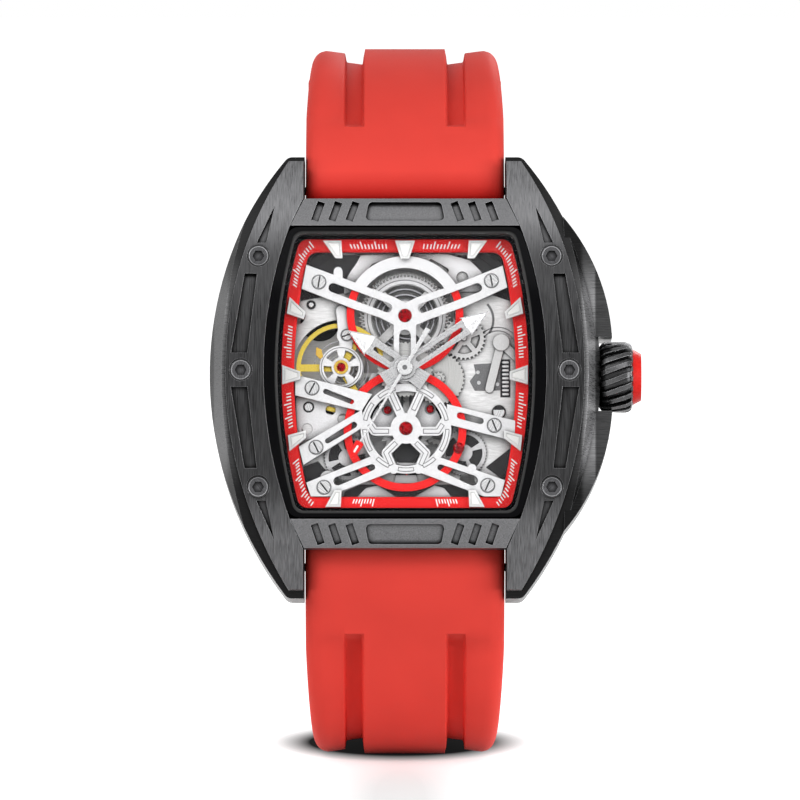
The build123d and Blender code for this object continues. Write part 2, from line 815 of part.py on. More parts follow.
def side_slab(side_view, middle_x, half_width, mode=Mode.ADD):
    """A side view as a slab of the given width, in the part being built."""
    with BuildSketch(Plane.YZ.offset(middle_x)) as outline:
        add(side_view)
    extrude(outline.sketch, amount=half_width, both=True, mode=mode)


def cross_hole(place, radius, mode=Mode.SUBTRACT):
    """A hole along X right through the part being built, at a place in side view."""
    with BuildSketch(Plane.YZ) as outline:
        with Locations(place):
            Circle(radius)
    extrude(outline.sketch, amount=strap_width, both=True, mode=mode)


def strap_body(side, end_angle):
    """The grooved strap with its spring bar hole, in the part being built."""
    side_slab(strap_side_view(side, end_angle), 0, strap_half)
    extrude(strap_plan.sketch, amount=case_length, both=True, mode=Mode.INTERSECT)
    for flip in (1, -1):
        groove_x = flip * (groove_inner_x + groove_outer_x) / 2
        side_slab(groove_side_view(side), groove_x, (groove_outer_x - groove_inner_x) / 2, Mode.SUBTRACT)
    cross_hole((-spring_bar_height, side * spring_bar_z), spring_bar_radius + clearance / 2)


# Loops for the tail: one is moulded with the upper strap, the other slides on it
keeper_wall = 1.1
keeper_length = 4.2
keeper_play = 0.3
keeper_sink = 0.2
fixed_keeper_angle = 50.0
sliding_keeper_angle = 34.0
sliding_keeper_travel = 14.0
keeper_low = strap_back_radius - strap_thickness / 2
keeper_high = strap_back_radius + strap_thickness / 2
tail_room = strap_thickness + keeper_play
bar_radius = 0.7
tongue_slot_width = 2.8
tongue_slot_length = 6.0
buckle_pin = polar(back_centre, strap_back_radius, buckle_angle)
fixed_half = strap_half_width(polar(back_centre, strap_back_radius, fixed_keeper_angle)[0])
widest_place = polar(back_centre, strap_back_radius, sliding_keeper_angle - sliding_keeper_travel)
sliding_half = strap_half_width(widest_place[0]) + keeper_play
fixed_inner_half = fixed_half - keeper_sink
with BuildPart() as fixed_keeper:
    keeper_top = keeper_high + tail_room
    loop_view = back_ring(strap_back_radius, keeper_top + keeper_wall, fixed_keeper_angle, keeper_length)
    room_view = back_ring(keeper_low - overrun, keeper_top, fixed_keeper_angle, keeper_length + overrun)
    side_slab(loop_view, 0, fixed_half + keeper_wall)
    side_slab(room_view, 0, fixed_inner_half, Mode.SUBTRACT)
with BuildPart() as strap_upper:
    strap_body(1, buckle_angle)
    add(fixed_keeper.part)
    cross_hole(buckle_pin, bar_radius + clearance / 2)
    slot_view = back_ring(keeper_low - overrun, keeper_high + overrun, buckle_angle, tongue_slot_length)
    side_slab(slot_view, 0, tongue_slot_width / 2, Mode.SUBTRACT)
write(strap_upper, "strap_upper")

hole_count = 5
hole_first_angle = 50.0
hole_pitch = 6.4
hole_length = 2.6
hole_width = 1.5
with BuildPart() as strap_lower:
    strap_body(-1, tail_angle)
    for step in range(hole_count):
        angle = hole_first_angle + math.degrees(step * hole_pitch / strap_back_radius)
        y, z = polar(back_centre, strap_back_radius, angle)
        out_y, out_z = polar((0, 0), 1, angle)
        with BuildSketch(Plane(origin=(0, y, -z), x_dir=(1, 0, 0), z_dir=(0, out_y, -out_z))):
            SlotOverall(hole_length, hole_width)
        extrude(amount=strap_thickness, both=True, mode=Mode.SUBTRACT)
write(strap_lower, "strap_lower")

with BuildPart() as keeper_sliding:
    outer_view = back_ring(
        keeper_low - keeper_play - keeper_wall,
        keeper_high + tail_room + keeper_play + keeper_wall,
        sliding_keeper_angle,
        keeper_length,
    )
    room_view = back_ring(
        keeper_low - keeper_play,
        keeper_high + tail_room + keeper_play,
        sliding_keeper_angle,
        keeper_length + overrun,
    )
    side_slab(outer_view, 0, sliding_half + keeper_wall)
    side_slab(room_view, 0, sliding_half, Mode.SUBTRACT)
write(keeper_sliding, "keeper_sliding")

for side, name in ((1, "spring_bar_upper"), (-1, "spring_bar_lower")):
    with BuildPart() as spring_bar:
        bar_half = strap_half
        tip_half = lug_gap / 2 + spring_bar_tip_length - 2 * clearance
        rod(spring_bar_radius, -bar_half, bar_half, side * spring_bar_z, spring_bar_height)
        rod(spring_bar_tip_radius, -tip_half, tip_half, side * spring_bar_z, spring_bar_height)
    write(spring_bar, name)

# Pin buckle: frame, tongue and the bar they turn on
frame_inner_half = strap_end_half + 0.4
frame_arm = 1.9
frame_front = 8.6
frame_front_width = 2.4
frame_back = 1.5
frame_half_thickness = 1.1
frame_corner = 1.5
tongue_length = 10.6
tongue_half_width = 1.1
tongue_thickness = 0.9
tongue_eye_radius = 1.45
tongue_rise = frame_half_thickness + tongue_thickness / 2 + running_clearance
tongue_lift = tongue_rise * tongue_length / frame_front
out_y, out_z = polar((0, 0), 1, buckle_angle)
buckle_plane = Plane(origin=(0, buckle_pin[0], buckle_pin[1]), x_dir=(1, 0, 0), z_dir=(0, out_y, out_z))
tongue_plane = Plane(origin=(0, buckle_pin[0], buckle_pin[1]), x_dir=(0, out_z, -out_y), z_dir=(-1, 0, 0))

with BuildPart() as buckle_frame:
    with BuildSketch(buckle_plane):
        frame_length = frame_front + frame_front_width + frame_back
        with Locations((0, frame_length / 2 - frame_back)):
            RectangleRounded(2 * (frame_inner_half + frame_arm), frame_length, frame_corner)
        with Locations((0, (frame_front - frame_back - overrun) / 2)):
            Rectangle(2 * frame_inner_half, frame_front + frame_back + overrun, mode=Mode.SUBTRACT)
    extrude(amount=frame_half_thickness, both=True)
    cross_hole(buckle_pin, bar_radius + clearance / 2)
write(buckle_frame, "buckle_frame")

with BuildPart() as buckle_tongue:
    with BuildSketch(tongue_plane):
        Circle(tongue_eye_radius)
        add(tapered_bar((0, 0), (tongue_length, -tongue_lift), 2 * bar_radius, tongue_thickness))
        Circle(bar_radius + clearance, mode=Mode.SUBTRACT)
    extrude(amount=tongue_half_width, both=True)
write(buckle_tongue, "buckle_tongue")

with BuildPart() as buckle_bar:
    with BuildSketch(Plane.YZ):
        with Locations(buckle_pin):
            Circle(bar_radius)
    extrude(amount=frame_inner_half + frame_arm - clearance, both=True)
write(buckle_bar, "buckle_bar")

# Movement: places of the axles, seen from the front
hub = (0.0, 0.6)
barrel_place = (0.0, 6.49)
third_place = (4.95, -2.5)
escape_place = (0.1, -6.0)
balance_place = (-7.04, 0.85)

# Heights of the layers of the movement
bridge_low = 3.6
bridge_high = 4.3
plate_low = 7.6
plate_high = 8.3
cover_low = 9.2
cover_high = 9.6
wheel_thickness = 0.2
tooth_over = 0.03
tooth_under = 0.22
tooth_tip_share = 0.25
tooth_foot_share = 0.5
arbor_radius = 0.28
jewel_radius = 0.62
jewel_hole = 0.4


def toward(start, end, distance):
    """The point at a distance from start on the line to end."""
    share = distance / math.dist(start, end)
    return (start[0] + share * (end[0] - start[0]), start[1] + share * (end[1] - start[1]))


def bearing(start, end):
    """The direction from start to end, in degrees from +X."""
    return math.degrees(math.atan2(end[1] - start[1], end[0] - start[0]))


def around(centre, radius, angle):
    """A point in front view, at an angle from +X about a centre."""
    turn = math.radians(angle)
    return (centre[0] + radius * math.cos(turn), centre[1] + radius * math.sin(turn))


def pitch_radii(distance, first_teeth, second_teeth):
    """The pitch radii of two wheels that mesh at that distance."""
    first = distance * first_teeth / (first_teeth + second_teeth)
    return first, distance - first


def gear(teeth, pitch_radius):
    """A wheel with flat-topped teeth."""
    return toothed(
        teeth, pitch_radius + tooth_over, pitch_radius - tooth_under, tooth_tip_share, tooth_foot_share
    )


def fine_gear(teeth, pitch_radius, lean_share=0):
    """A wheel with pointed teeth."""
    return pointed(teeth, pitch_radius + tooth_over, pitch_radius - tooth_under, lean_share)


def spoked(outline, window_radius, hub_radius, spokes, spoke_width):
    """A wheel's outline with a hub and straight spokes inside a round window."""
    with BuildSketch() as wheel:
        add(outline)
        Circle(window_radius, mode=Mode.SUBTRACT)
        Circle(hub_radius)
        with PolarLocations(0, spokes):
            Rectangle(window_radius + spoke_width / 2, spoke_width, align=(Align.MIN, Align.CENTER))
    return wheel.sketch


barrel_teeth, centre_pinion_teeth = 72, 12
centre_teeth, third_pinion_teeth = 64, 8
third_teeth, fourth_pinion_teeth = 60, 8
fourth_teeth, escape_pinion_teeth = 60, 12
cannon_teeth, minute_teeth = 12, 36
minute_pinion_teeth, hour_teeth = 10, 40
setting_teeth = 30
ratchet_teeth, crown_wheel_teeth = 54, 42
barrel_pitch, centre_pinion_pitch = pitch_radii(
    math.dist(hub, barrel_place), barrel_teeth, centre_pinion_teeth
)
third_distance = math.dist(hub, third_place)
centre_pitch, third_pinion_pitch = pitch_radii(third_distance, centre_teeth, third_pinion_teeth)
third_pitch, fourth_pinion_pitch = pitch_radii(third_distance, third_teeth, fourth_pinion_teeth)
fourth_pitch, escape_pinion_pitch = pitch_radii(
    math.dist(hub, escape_place), fourth_teeth, escape_pinion_teeth
)
minute_distance = 3.84
cannon_pitch, minute_pitch = pitch_radii(minute_distance, cannon_teeth, minute_teeth)
minute_pinion_pitch, hour_pitch = pitch_radii(minute_distance, minute_pinion_teeth, hour_teeth)
setting_pitch = minute_pitch * setting_teeth / minute_teeth
minute_angle = -15.0
setting_angle = 58.1
minute_place = around(hub, minute_distance, minute_angle)
setting_place = around(minute_place, minute_pitch + setting_pitch, setting_angle)
crown_wheel_distance = 7.73
crown_wheel_angle = -19.5
ratchet_pitch, crown_wheel_pitch = pitch_radii(crown_wheel_distance, ratchet_teeth, crown_wheel_teeth)
crown_wheel_place = around(barrel_place, crown_wheel_distance, crown_wheel_angle)

# Ring that holds the movement in the case
ring_low = back_thickness + back_rim_height + clearance
movement_ring_gap = 0.1
with BuildPart() as movement_ring:
    disc((0, 0), movement_bore_radius - movement_ring_gap, ring_low, ledge_height - clearance)
    disc((0, 0), plate_radius + movement_ring_gap, ring_low, ledge_height, Mode.SUBTRACT)
    rod(stem_radius + running_clearance, plate_radius - overrun, case_width / 2, mode=Mode.SUBTRACT)
write(movement_ring, "movement_ring")

# Main plate, open over the barrel, the balance and the escapement
barrel_window = 5.5
balance_window = 5.3
escape_window = 5.2
hub_boss = 1.65
tube_hole = 0.7
rim_holes = (
    (7.0, -11.6),
    (-7.0, -11.6),
    (12.6, -6.2),
    (-12.2, -6.4),
    (-12.0, 6.6),
    (4.6, 13.4),
    (-4.6, 13.4),
)
rim_hole_radius = 1.0
cover_posts = ((-9.5, 10.2), (9.5, 10.2), (-9.8, -8.1), (-8.5, -11.5), (9.8, -5.7), (8.5, -11.5))
cover_post_radius = 0.85
cover_screw_radius = 0.72
cover_screw_shank = 0.4
cover_screw_head = 0.25
post_hole = cover_screw_shank + clearance / 2
lever_pin_place = (13.7, 0.6)
lever_pin_radius = 0.25
lever_pin_sweep = 0.9
cock_reach = 6.25
cock_angle = 84.0
stud_height = 0.6
cock_foot = around(balance_place, cock_reach, cock_angle)
with BuildPart() as main_plate:
    disc((0, 0), plate_radius, plate_low, plate_high)
    disc(barrel_place, barrel_window, plate_low, plate_high, Mode.SUBTRACT)
    disc(balance_place, balance_window, plate_low, plate_high, Mode.SUBTRACT)
    disc(escape_place, escape_window, plate_low, plate_high, Mode.SUBTRACT)
    disc(hub, hub_boss, plate_low, plate_high)
    disc(hub, tube_hole, plate_low, plate_high, Mode.SUBTRACT)
    disc(third_place, arbor_radius + clearance / 2, plate_low, plate_high, Mode.SUBTRACT)
    disc(lever_pin_place, lever_pin_sweep, plate_low, plate_high, Mode.SUBTRACT)
    for place in rim_holes:
        disc(place, rim_hole_radius, plate_low, plate_high, Mode.SUBTRACT)
    for place in cover_posts:
        disc(place, cover_post_radius, plate_high, cover_low)
        disc(place, post_hole, plate_low, cover_low, Mode.SUBTRACT)
    # Studs for the minute wheel, the setting wheel and the setting lever
    for place in (minute_place, setting_place):
        disc(place, arbor_radius, plate_high, plate_high + stud_height)
    disc(cock_foot, post_hole, plate_low, plate_high, Mode.SUBTRACT)
write(main_plate, "main_plate")

# Back bridge, on four pillars, with the jewels' holes and the rotor's post
pillar_radius = 1.0
pillar_circle = 13.5
pillar_angles = (43.0, 137.0, 223.0, 317.0)
pillar_places = [around((0, 0), pillar_circle, angle) for angle in pillar_angles]
rotor_post_radius = 0.85
rotor_post_low = 2.1
bridge_windows = (((8.6, -7.2), 2.4), ((-9.2, -6.0), 2.6), ((-9.4, 6.4), 2.2), ((0.1, -11.6), 2.0))
train_places = (hub, third_place, escape_place, balance_place)
with BuildPart() as train_bridge:
    disc((0, 0), plate_radius, bridge_low, bridge_high)
    for place, radius in bridge_windows:
        disc(place, radius, bridge_low, bridge_high, Mode.SUBTRACT)
    for place in pillar_places:
        disc(place, pillar_radius, bridge_high, plate_low)
    for place in (barrel_place, *train_places):
        disc(place, jewel_radius, bridge_low, bridge_high, Mode.SUBTRACT)
    disc((0, 0), rotor_post_radius, rotor_post_low, bridge_low)
write(train_bridge, "train_bridge")

# Upper bridge: two arms to the posts, one to the hands, and an arch over the barrel
arch_outer = 6.4
arch_inner = 5.35
arm_end_x = 10.4
arm_end_z = 10.6
arm_root_width = 4.2
arm_end_width = 2.3
stem_arm_width = 2.45
hub_ring_outer = 1.52
hub_ring_hole = 1.3
slot_start = (1.75, 7.2)
slot_end = (8.2, 9.75)
arm_slot_width = 1.0
stem_slot_width = 1.25
stem_slot_length = 2.6
arch_place = (0.0, 6.7)
with BuildSketch() as upper_bridge_outline:
    with Locations(arch_place):
        Circle(arch_outer)
        Circle(arch_inner, mode=Mode.SUBTRACT)
        Rectangle(4 * arch_outer, 2 * arch_outer, align=(Align.CENTER, Align.MAX), mode=Mode.SUBTRACT)
    with Locations(barrel_place):
        Circle(arm_root_width / 2)
    for flip in (1, -1):
        arm_end = (flip * arm_end_x, arm_end_z)
        add(tapered_bar(barrel_place, arm_end, arm_root_width, arm_end_width))
    add(tapered_bar(barrel_place, hub, stem_arm_width, stem_arm_width))
    with Locations(hub):
        Circle(hub_ring_outer)
        Circle(hub_ring_hole, mode=Mode.SUBTRACT)
    for flip in (1, -1):
        start = (flip * slot_start[0], slot_start[1])
        end = (flip * slot_end[0], slot_end[1])
        add(bar_outline(start, end, arm_slot_width), mode=Mode.SUBTRACT)
    slot_top = toward(hub, barrel_place, stem_slot_length + hub_ring_outer)
    slot_bottom = toward(hub, barrel_place, hub_ring_outer + stem_slot_width / 2)
    add(bar_outline(slot_bottom, slot_top, stem_slot_width), mode=Mode.SUBTRACT)
    with Locations(barrel_place):
        Circle(jewel_radius, mode=Mode.SUBTRACT)
    with Locations(*cover_posts):
        Circle(post_hole, mode=Mode.SUBTRACT)
with BuildPart() as upper_bridge:
    layer(upper_bridge_outline.sketch, cover_low, cover_high)
write(upper_bridge, "upper_bridge")

# Lower bridge: a ring with six kinked spokes and five arms
wheel_ring_outer = 5.0
wheel_ring_inner = 4.15
wheel_hub_radius = 1.65
spoke_width = 0.85
spoke_elbow_radius = 2.9
spoke_elbow_turn = 13.0
spoke_count = 6
lower_arm_width = 1.9
lower_slot_width = 0.63
lower_slot_gap = 0.2
bare_arm_end = (-11.3, -1.5)
lower_arms = (bare_arm_end, *cover_posts[2:])
with BuildSketch() as lower_bridge_outline:
    with Locations(escape_place):
        Circle(wheel_ring_outer)
    for place in lower_arms:
        add(bar_outline(escape_place, place, lower_arm_width))
    with Locations(escape_place):
        Circle(wheel_ring_inner, mode=Mode.SUBTRACT)
        Circle(wheel_hub_radius)
    for spoke in range(spoke_count):
        angle = 360 * spoke / spoke_count
        elbow = around(escape_place, spoke_elbow_radius, angle + spoke_elbow_turn)
        add(bar_outline(around(escape_place, wheel_hub_radius, angle), elbow, spoke_width))
        add(bar_outline(elbow, around(escape_place, wheel_ring_inner, angle), spoke_width))
    for place in lower_arms:
        slot_from = toward(escape_place, place, wheel_ring_outer + lower_slot_gap)
        slot_to = toward(place, escape_place, 2 * cover_post_radius)
        add(bar_outline(slot_from, slot_to, lower_slot_width), mode=Mode.SUBTRACT)
    with Locations(escape_place):
        Circle(jewel_radius, mode=Mode.SUBTRACT)
    with Locations(*cover_posts):
        Circle(post_hole, mode=Mode.SUBTRACT)
with BuildPart() as lower_bridge:
    layer(lower_bridge_outline.sketch, cover_low, cover_high)
write(lower_bridge, "lower_bridge")

with BuildPart() as bridge_screws:
    for place in cover_posts:
        disc(place, cover_screw_radius, cover_high, cover_high + cover_screw_head)
        disc(place, cover_screw_shank, plate_high, cover_high)
        with BuildSketch(Plane.XZ.offset(cover_high + cover_screw_head / 2)):
            with Locations(place):
                Rectangle(2 * cover_screw_radius, screw_slot_width)
        extrude(amount=cover_screw_head, mode=Mode.SUBTRACT)
write(bridge_screws, "bridge_screws")

# Jewels in both bridges
with BuildPart() as bridge_jewels:
    for place in (barrel_place, escape_place):
        disc(place, jewel_radius - clearance / 4, cover_low, cover_high)
        disc(place, jewel_hole, cover_low, cover_high, Mode.SUBTRACT)
    for place in train_places:
        disc(place, jewel_radius - clearance / 4, bridge_low, bridge_high)
        disc(place, arbor_radius + clearance / 2, bridge_low, bridge_high, Mode.SUBTRACT)
write(bridge_jewels, "bridge_jewels")

# Red rings under the bridges, open around the hands
ring_high = cover_low - clearance / 4
red_ring_thickness = 0.22
ring_low_face = ring_high - red_ring_thickness
post_space = cover_post_radius + clearance
# Centre, outer radius and inner radius of the rings
red_rings = {
    "red_ring_upper": (arch_place, 6.43, 5.6),
    "red_ring_lower": ((0.0, -6.16), 6.75, 5.9),
}
for name, (centre, outer, inner) in red_rings.items():
    with BuildPart() as red_ring:
        disc(centre, outer, ring_low_face, ring_high)
        disc(centre, inner, ring_low_face, ring_high, Mode.SUBTRACT)
        disc(hub, hub_ring_hole + clearance, ring_low_face, ring_high, Mode.SUBTRACT)
        for place in cover_posts:
            disc(place, post_space, ring_low_face, ring_high, Mode.SUBTRACT)
    write(red_ring, name)

# Barrel: drum, cover, arbor and mainspring
drum_low = 5.7
drum_high = 7.45
drum_floor = 0.25
drum_teeth_low = 6.85
drum_wall = 0.28
drum_inner = barrel_pitch - tooth_under - drum_wall
cover_thickness = 0.22
barrel_core_radius = 0.95
barrel_pivot_radius = 0.3
with BuildPart() as barrel_drum:
    disc(barrel_place, drum_inner + drum_wall, drum_low, drum_high)
    layer(
        placed(gear(barrel_teeth, barrel_pitch), barrel_place, bearing(barrel_place, hub)),
        drum_teeth_low,
        drum_high,
    )
    disc(barrel_place, drum_inner, drum_low + drum_floor, drum_high, Mode.SUBTRACT)
    disc(barrel_place, barrel_pivot_radius + clearance, drum_low, drum_high, Mode.SUBTRACT)
write(barrel_drum, "barrel_drum")

cover_windows = 4
cover_window_turn = 45.0
cover_window_share = 0.8
with BuildSketch() as cover_outline:
    Circle(drum_inner - clearance / 4)
    Circle(drum_inner * cover_window_share, mode=Mode.SUBTRACT)
    Circle(2 * barrel_core_radius)
    with PolarLocations(0, cover_windows, cover_window_turn):
        Rectangle(drum_inner - clearance, barrel_core_radius, align=(Align.MIN, Align.CENTER))
    Circle(barrel_pivot_radius + clearance, mode=Mode.SUBTRACT)
with BuildPart() as barrel_cover:
    layer(placed(cover_outline.sketch, barrel_place), drum_high - cover_thickness, drum_high)
write(barrel_cover, "barrel_cover")

ratchet_low = 3.1
ratchet_high = 3.45
ratchet_square = 1.0
with BuildPart() as barrel_arbor:
    arbor_core_low = drum_low + drum_floor + clearance / 2
    arbor_core_high = drum_high - cover_thickness - clearance / 2
    disc(barrel_place, barrel_core_radius, arbor_core_low, arbor_core_high)
    disc(barrel_place, barrel_pivot_radius, bridge_low - clearance, cover_high - clearance)
    disc(barrel_place, jewel_radius - running_clearance / 2, bridge_low - clearance, bridge_high)
    with BuildSketch(Plane.XZ.offset(ratchet_low - clearance)):
        with Locations(barrel_place):
            Rectangle(ratchet_square, ratchet_square)
    extrude(amount=bridge_low - ratchet_low)
write(barrel_arbor, "barrel_arbor")


def spiral(centre, start_radius, pitch, half_turns, low):
    """A spiral of half circles about two centres, in the plane at a height. Returns the wire."""
    with BuildLine(Plane.XZ.offset(low)) as path:
        for step in range(half_turns):
            side = 1 if step % 2 == 0 else -1
            middle = centre[0] + (0 if side > 0 else pitch / 2)
            radius = start_radius + step * pitch / 2
            ThreePointArc(
                (middle + side * radius, centre[1]),
                (middle, centre[1] + side * radius),
                (middle - side * radius, centre[1]),
            )
    return path.wire()


def least_gap(path, half_turns, thickness):
    """The least distance between neighbouring turns of a spiral, measured on points."""
    samples = 24 * half_turns
    points = [path @ (step / samples) for step in range(samples + 1)]
    apart = samples // half_turns
    return min(
        (points[first] - points[second]).length - thickness
        for first in range(len(points))
        for second in range(first + apart, len(points))
    )


def spring_strip(path, thickness, height):
    """A flat strip swept along a spiral, in the part being built."""
    start = path @ 0
    section_plane = Plane(origin=start, x_dir=(1, 0, 0), z_dir=path % 0)
    with BuildSketch(section_plane) as section:
        Rectangle(thickness, height)
    sweep(section.sketch, path=path)


mainspring_thickness = 0.16
mainspring_height = 1.0
mainspring_pitch = 0.6
mainspring_half_turns = 9
mainspring_middle = (drum_low + drum_floor + drum_high - cover_thickness) / 2
mainspring_path = spiral(
    barrel_place,
    barrel_core_radius + running_clearance + mainspring_pitch / 2,
    mainspring_pitch,
    mainspring_half_turns,
    mainspring_middle,
)
mainspring_gap = least_gap(mainspring_path, mainspring_half_turns, mainspring_thickness)
print(f"mainspring least gap {mainspring_gap:.2f} mm")
with BuildPart() as mainspring:
    spring_strip(mainspring_path, mainspring_thickness, mainspring_height)
write(mainspring, "mainspring")

# Winding wheels and click, behind the back bridge
ratchet_lean_share = 0.2
with BuildPart() as ratchet_wheel:
    rim = fine_gear(ratchet_teeth, ratchet_pitch, ratchet_lean_share)
    layer(placed(rim, barrel_place), ratchet_low, ratchet_high)
    with BuildSketch(Plane.XZ.offset(ratchet_low)):
        with Locations(barrel_place):
            Rectangle(ratchet_square + clearance / 4, ratchet_square + clearance / 4)
    extrude(amount=ratchet_high - ratchet_low, mode=Mode.SUBTRACT)
write(ratchet_wheel, "ratchet_wheel")

crown_wheel_hub = 0.9
with BuildPart() as crown_wheel:
    turn = bearing(crown_wheel_place, barrel_place) + 180 / crown_wheel_teeth
    rim = fine_gear(crown_wheel_teeth, crown_wheel_pitch)
    layer(placed(rim, crown_wheel_place, turn), ratchet_low, ratchet_high)
    disc(crown_wheel_place, crown_wheel_hub, ratchet_high, bridge_low - clearance / 2)
write(crown_wheel, "crown_wheel")

click_distance = 2.3
click_angle = 150.0
click_tip_angle = 126.0
click_width = 0.7
click_head = 0.75
click_place = around(barrel_place, ratchet_pitch + click_distance, click_angle)
click_tip_radius = ratchet_pitch + tooth_over + click_width / 2 + clearance
with BuildPart() as click:
    click_tip = around(barrel_place, click_tip_radius, click_tip_angle)
    layer(bar_outline(click_place, click_tip, click_width), ratchet_low, ratchet_high)
    disc(click_place, click_head, ratchet_low, bridge_low - clearance / 2)
write(click, "click")

# Going train
fourth_low = 4.4
third_low = 4.95
centre_low = 5.35
centre_tube_outer = 0.6
centre_tube_inner = 0.4
centre_tube_high = 10.15
fourth_arbor_high = 10.95
pivot_low = bridge_low + clearance
window_rim = 0.65
wheel_hub = 0.8
wheel_spoke = 0.5
train_spokes = 5
with BuildPart() as centre_wheel:
    teeth = fine_gear(centre_teeth, centre_pitch)
    rim = spoked(teeth, centre_pitch - window_rim, wheel_hub, train_spokes, wheel_spoke)
    turn = bearing(hub, third_place)
    layer(placed(rim, hub, turn), centre_low, centre_low + wheel_thickness)
    pinion = gear(centre_pinion_teeth, centre_pinion_pitch)
    turn = bearing(hub, barrel_place) + 180 / centre_pinion_teeth
    layer(placed(pinion, hub, turn), centre_low + wheel_thickness, drum_high)
    disc(hub, centre_tube_outer, centre_low, centre_tube_high)
    disc(hub, centre_tube_inner, centre_low, centre_tube_high, Mode.SUBTRACT)
write(centre_wheel, "centre_wheel")

with BuildPart() as third_wheel:
    teeth = fine_gear(third_teeth, third_pitch)
    rim = spoked(teeth, third_pitch - window_rim, wheel_hub, train_spokes, wheel_spoke)
    turn = bearing(third_place, hub)
    layer(placed(rim, third_place, turn), third_low, third_low + wheel_thickness)
    pinion = fine_gear(third_pinion_teeth, third_pinion_pitch)
    turn = bearing(third_place, hub) + 180 / third_pinion_teeth
    layer(placed(pinion, third_place, turn), third_low + wheel_thickness, centre_low + 2 * wheel_thickness)
    disc(third_place, arbor_radius, pivot_low, plate_high - clearance)
write(third_wheel, "third_wheel")

with BuildPart() as fourth_wheel:
    teeth = fine_gear(fourth_teeth, fourth_pitch)
    rim = spoked(teeth, fourth_pitch - window_rim, wheel_hub, train_spokes, wheel_spoke)
    turn = bearing(hub, escape_place)
    layer(placed(rim, hub, turn), fourth_low, fourth_low + wheel_thickness)
    pinion = fine_gear(fourth_pinion_teeth, fourth_pinion_pitch)
    turn = bearing(hub, third_place) + 180 / fourth_pinion_teeth
    layer(placed(pinion, hub, turn), fourth_low + wheel_thickness, third_low + wheel_thickness + clearance)
    disc(hub, arbor_radius, pivot_low, fourth_arbor_high)
write(fourth_wheel, "fourth_wheel")

# Escapement: escape wheel, pallet fork, balance with its hairspring, and the cock
escape_teeth = 20
escape_tip = 3.0
escape_root = 2.4
escape_lean_share = 0.3
escape_spokes = 4
escape_low = 6.6
fork_low = 6.6
with BuildPart() as escape_wheel:
    rim = spoked(
        pointed(escape_teeth, escape_tip, escape_root, escape_lean_share),
        escape_root - wheel_spoke,
        wheel_hub,
        escape_spokes,
        wheel_spoke,
    )
    layer(placed(rim, escape_place), escape_low, escape_low + wheel_thickness)
    pinion = fine_gear(escape_pinion_teeth, escape_pinion_pitch)
    turn = bearing(escape_place, hub) + 180 / escape_pinion_teeth
    layer(placed(pinion, escape_place, turn), bridge_high + clearance / 2, fourth_low + 2 * wheel_thickness)
    disc(escape_place, arbor_radius, pivot_low, cover_high - clearance)
write(escape_wheel, "escape_wheel")

pallet_distance = 3.75
pallet_place = toward(escape_place, balance_place, pallet_distance)
pallet_width = 0.42
pallet_turn = 28.0
pallet_reach = escape_tip + pallet_width
fork_gap = 0.85
fork_length = math.dist(pallet_place, balance_place) - fork_gap
fork_horn = 0.5
fork_horn_turn = 35.0
with BuildPart() as pallet_fork:
    fork_end = toward(pallet_place, balance_place, fork_length)
    layer(bar_outline(pallet_place, fork_end, pallet_width), fork_low, fork_low + wheel_thickness)
    for flip in (1, -1):
        tip_angle = bearing(escape_place, pallet_place) + flip * pallet_turn
        pallet_tip = around(escape_place, pallet_reach, tip_angle)
        layer(bar_outline(pallet_place, pallet_tip, pallet_width), fork_low, fork_low + wheel_thickness)
        horn_angle = bearing(pallet_place, balance_place) + flip * fork_horn_turn
        horn_tip = around(fork_end, fork_horn, horn_angle)
        layer(bar_outline(fork_end, horn_tip, pallet_width / 2), fork_low, fork_low + wheel_thickness)
    disc(pallet_place, arbor_radius, centre_low + wheel_thickness + clearance, cover_low - clearance / 2)
write(pallet_fork, "pallet_fork")

balance_outer = 4.95
balance_inner = 4.45
balance_low = 7.7
balance_high = 8.05
balance_hub = 0.8
balance_spokes = 3
balance_turn = 180.0
roller_radius = 0.75
roller_low = fork_low + wheel_thickness + clearance
staff_high = 8.4
with BuildPart() as balance_wheel:
    with BuildSketch() as balance_outline:
        Circle(balance_outer)
    rim = spoked(balance_outline.sketch, balance_inner, balance_hub, balance_spokes, balance_hub)
    layer(placed(rim, balance_place, balance_turn), balance_low, balance_high)
    disc(balance_place, arbor_radius, pivot_low, staff_high)
    disc(balance_place, roller_radius, roller_low, roller_low + wheel_thickness)
write(balance_wheel, "balance_wheel")

hairspring_thickness = 0.1
hairspring_height = 0.2
hairspring_pitch = 0.54
hairspring_half_turns = 9
hairspring_middle = 7.4
hairspring_start = arbor_radius + hairspring_pitch
hairspring_path = spiral(
    balance_place, hairspring_start, hairspring_pitch, hairspring_half_turns, hairspring_middle
)
hairspring_gap = least_gap(hairspring_path, hairspring_half_turns, hairspring_thickness)
print(f"hairspring least gap {hairspring_gap:.2f} mm")
collet_radius = hairspring_start + hairspring_thickness / 2
collet_low = hairspring_middle - hairspring_height / 2
with BuildPart() as hairspring:
    spring_strip(hairspring_path, hairspring_thickness, hairspring_height)
    disc(balance_place, collet_radius, collet_low, collet_low + hairspring_height)
    disc(balance_place, arbor_radius + clearance / 4, bridge_low, cover_high, Mode.SUBTRACT)
write(hairspring, "hairspring")

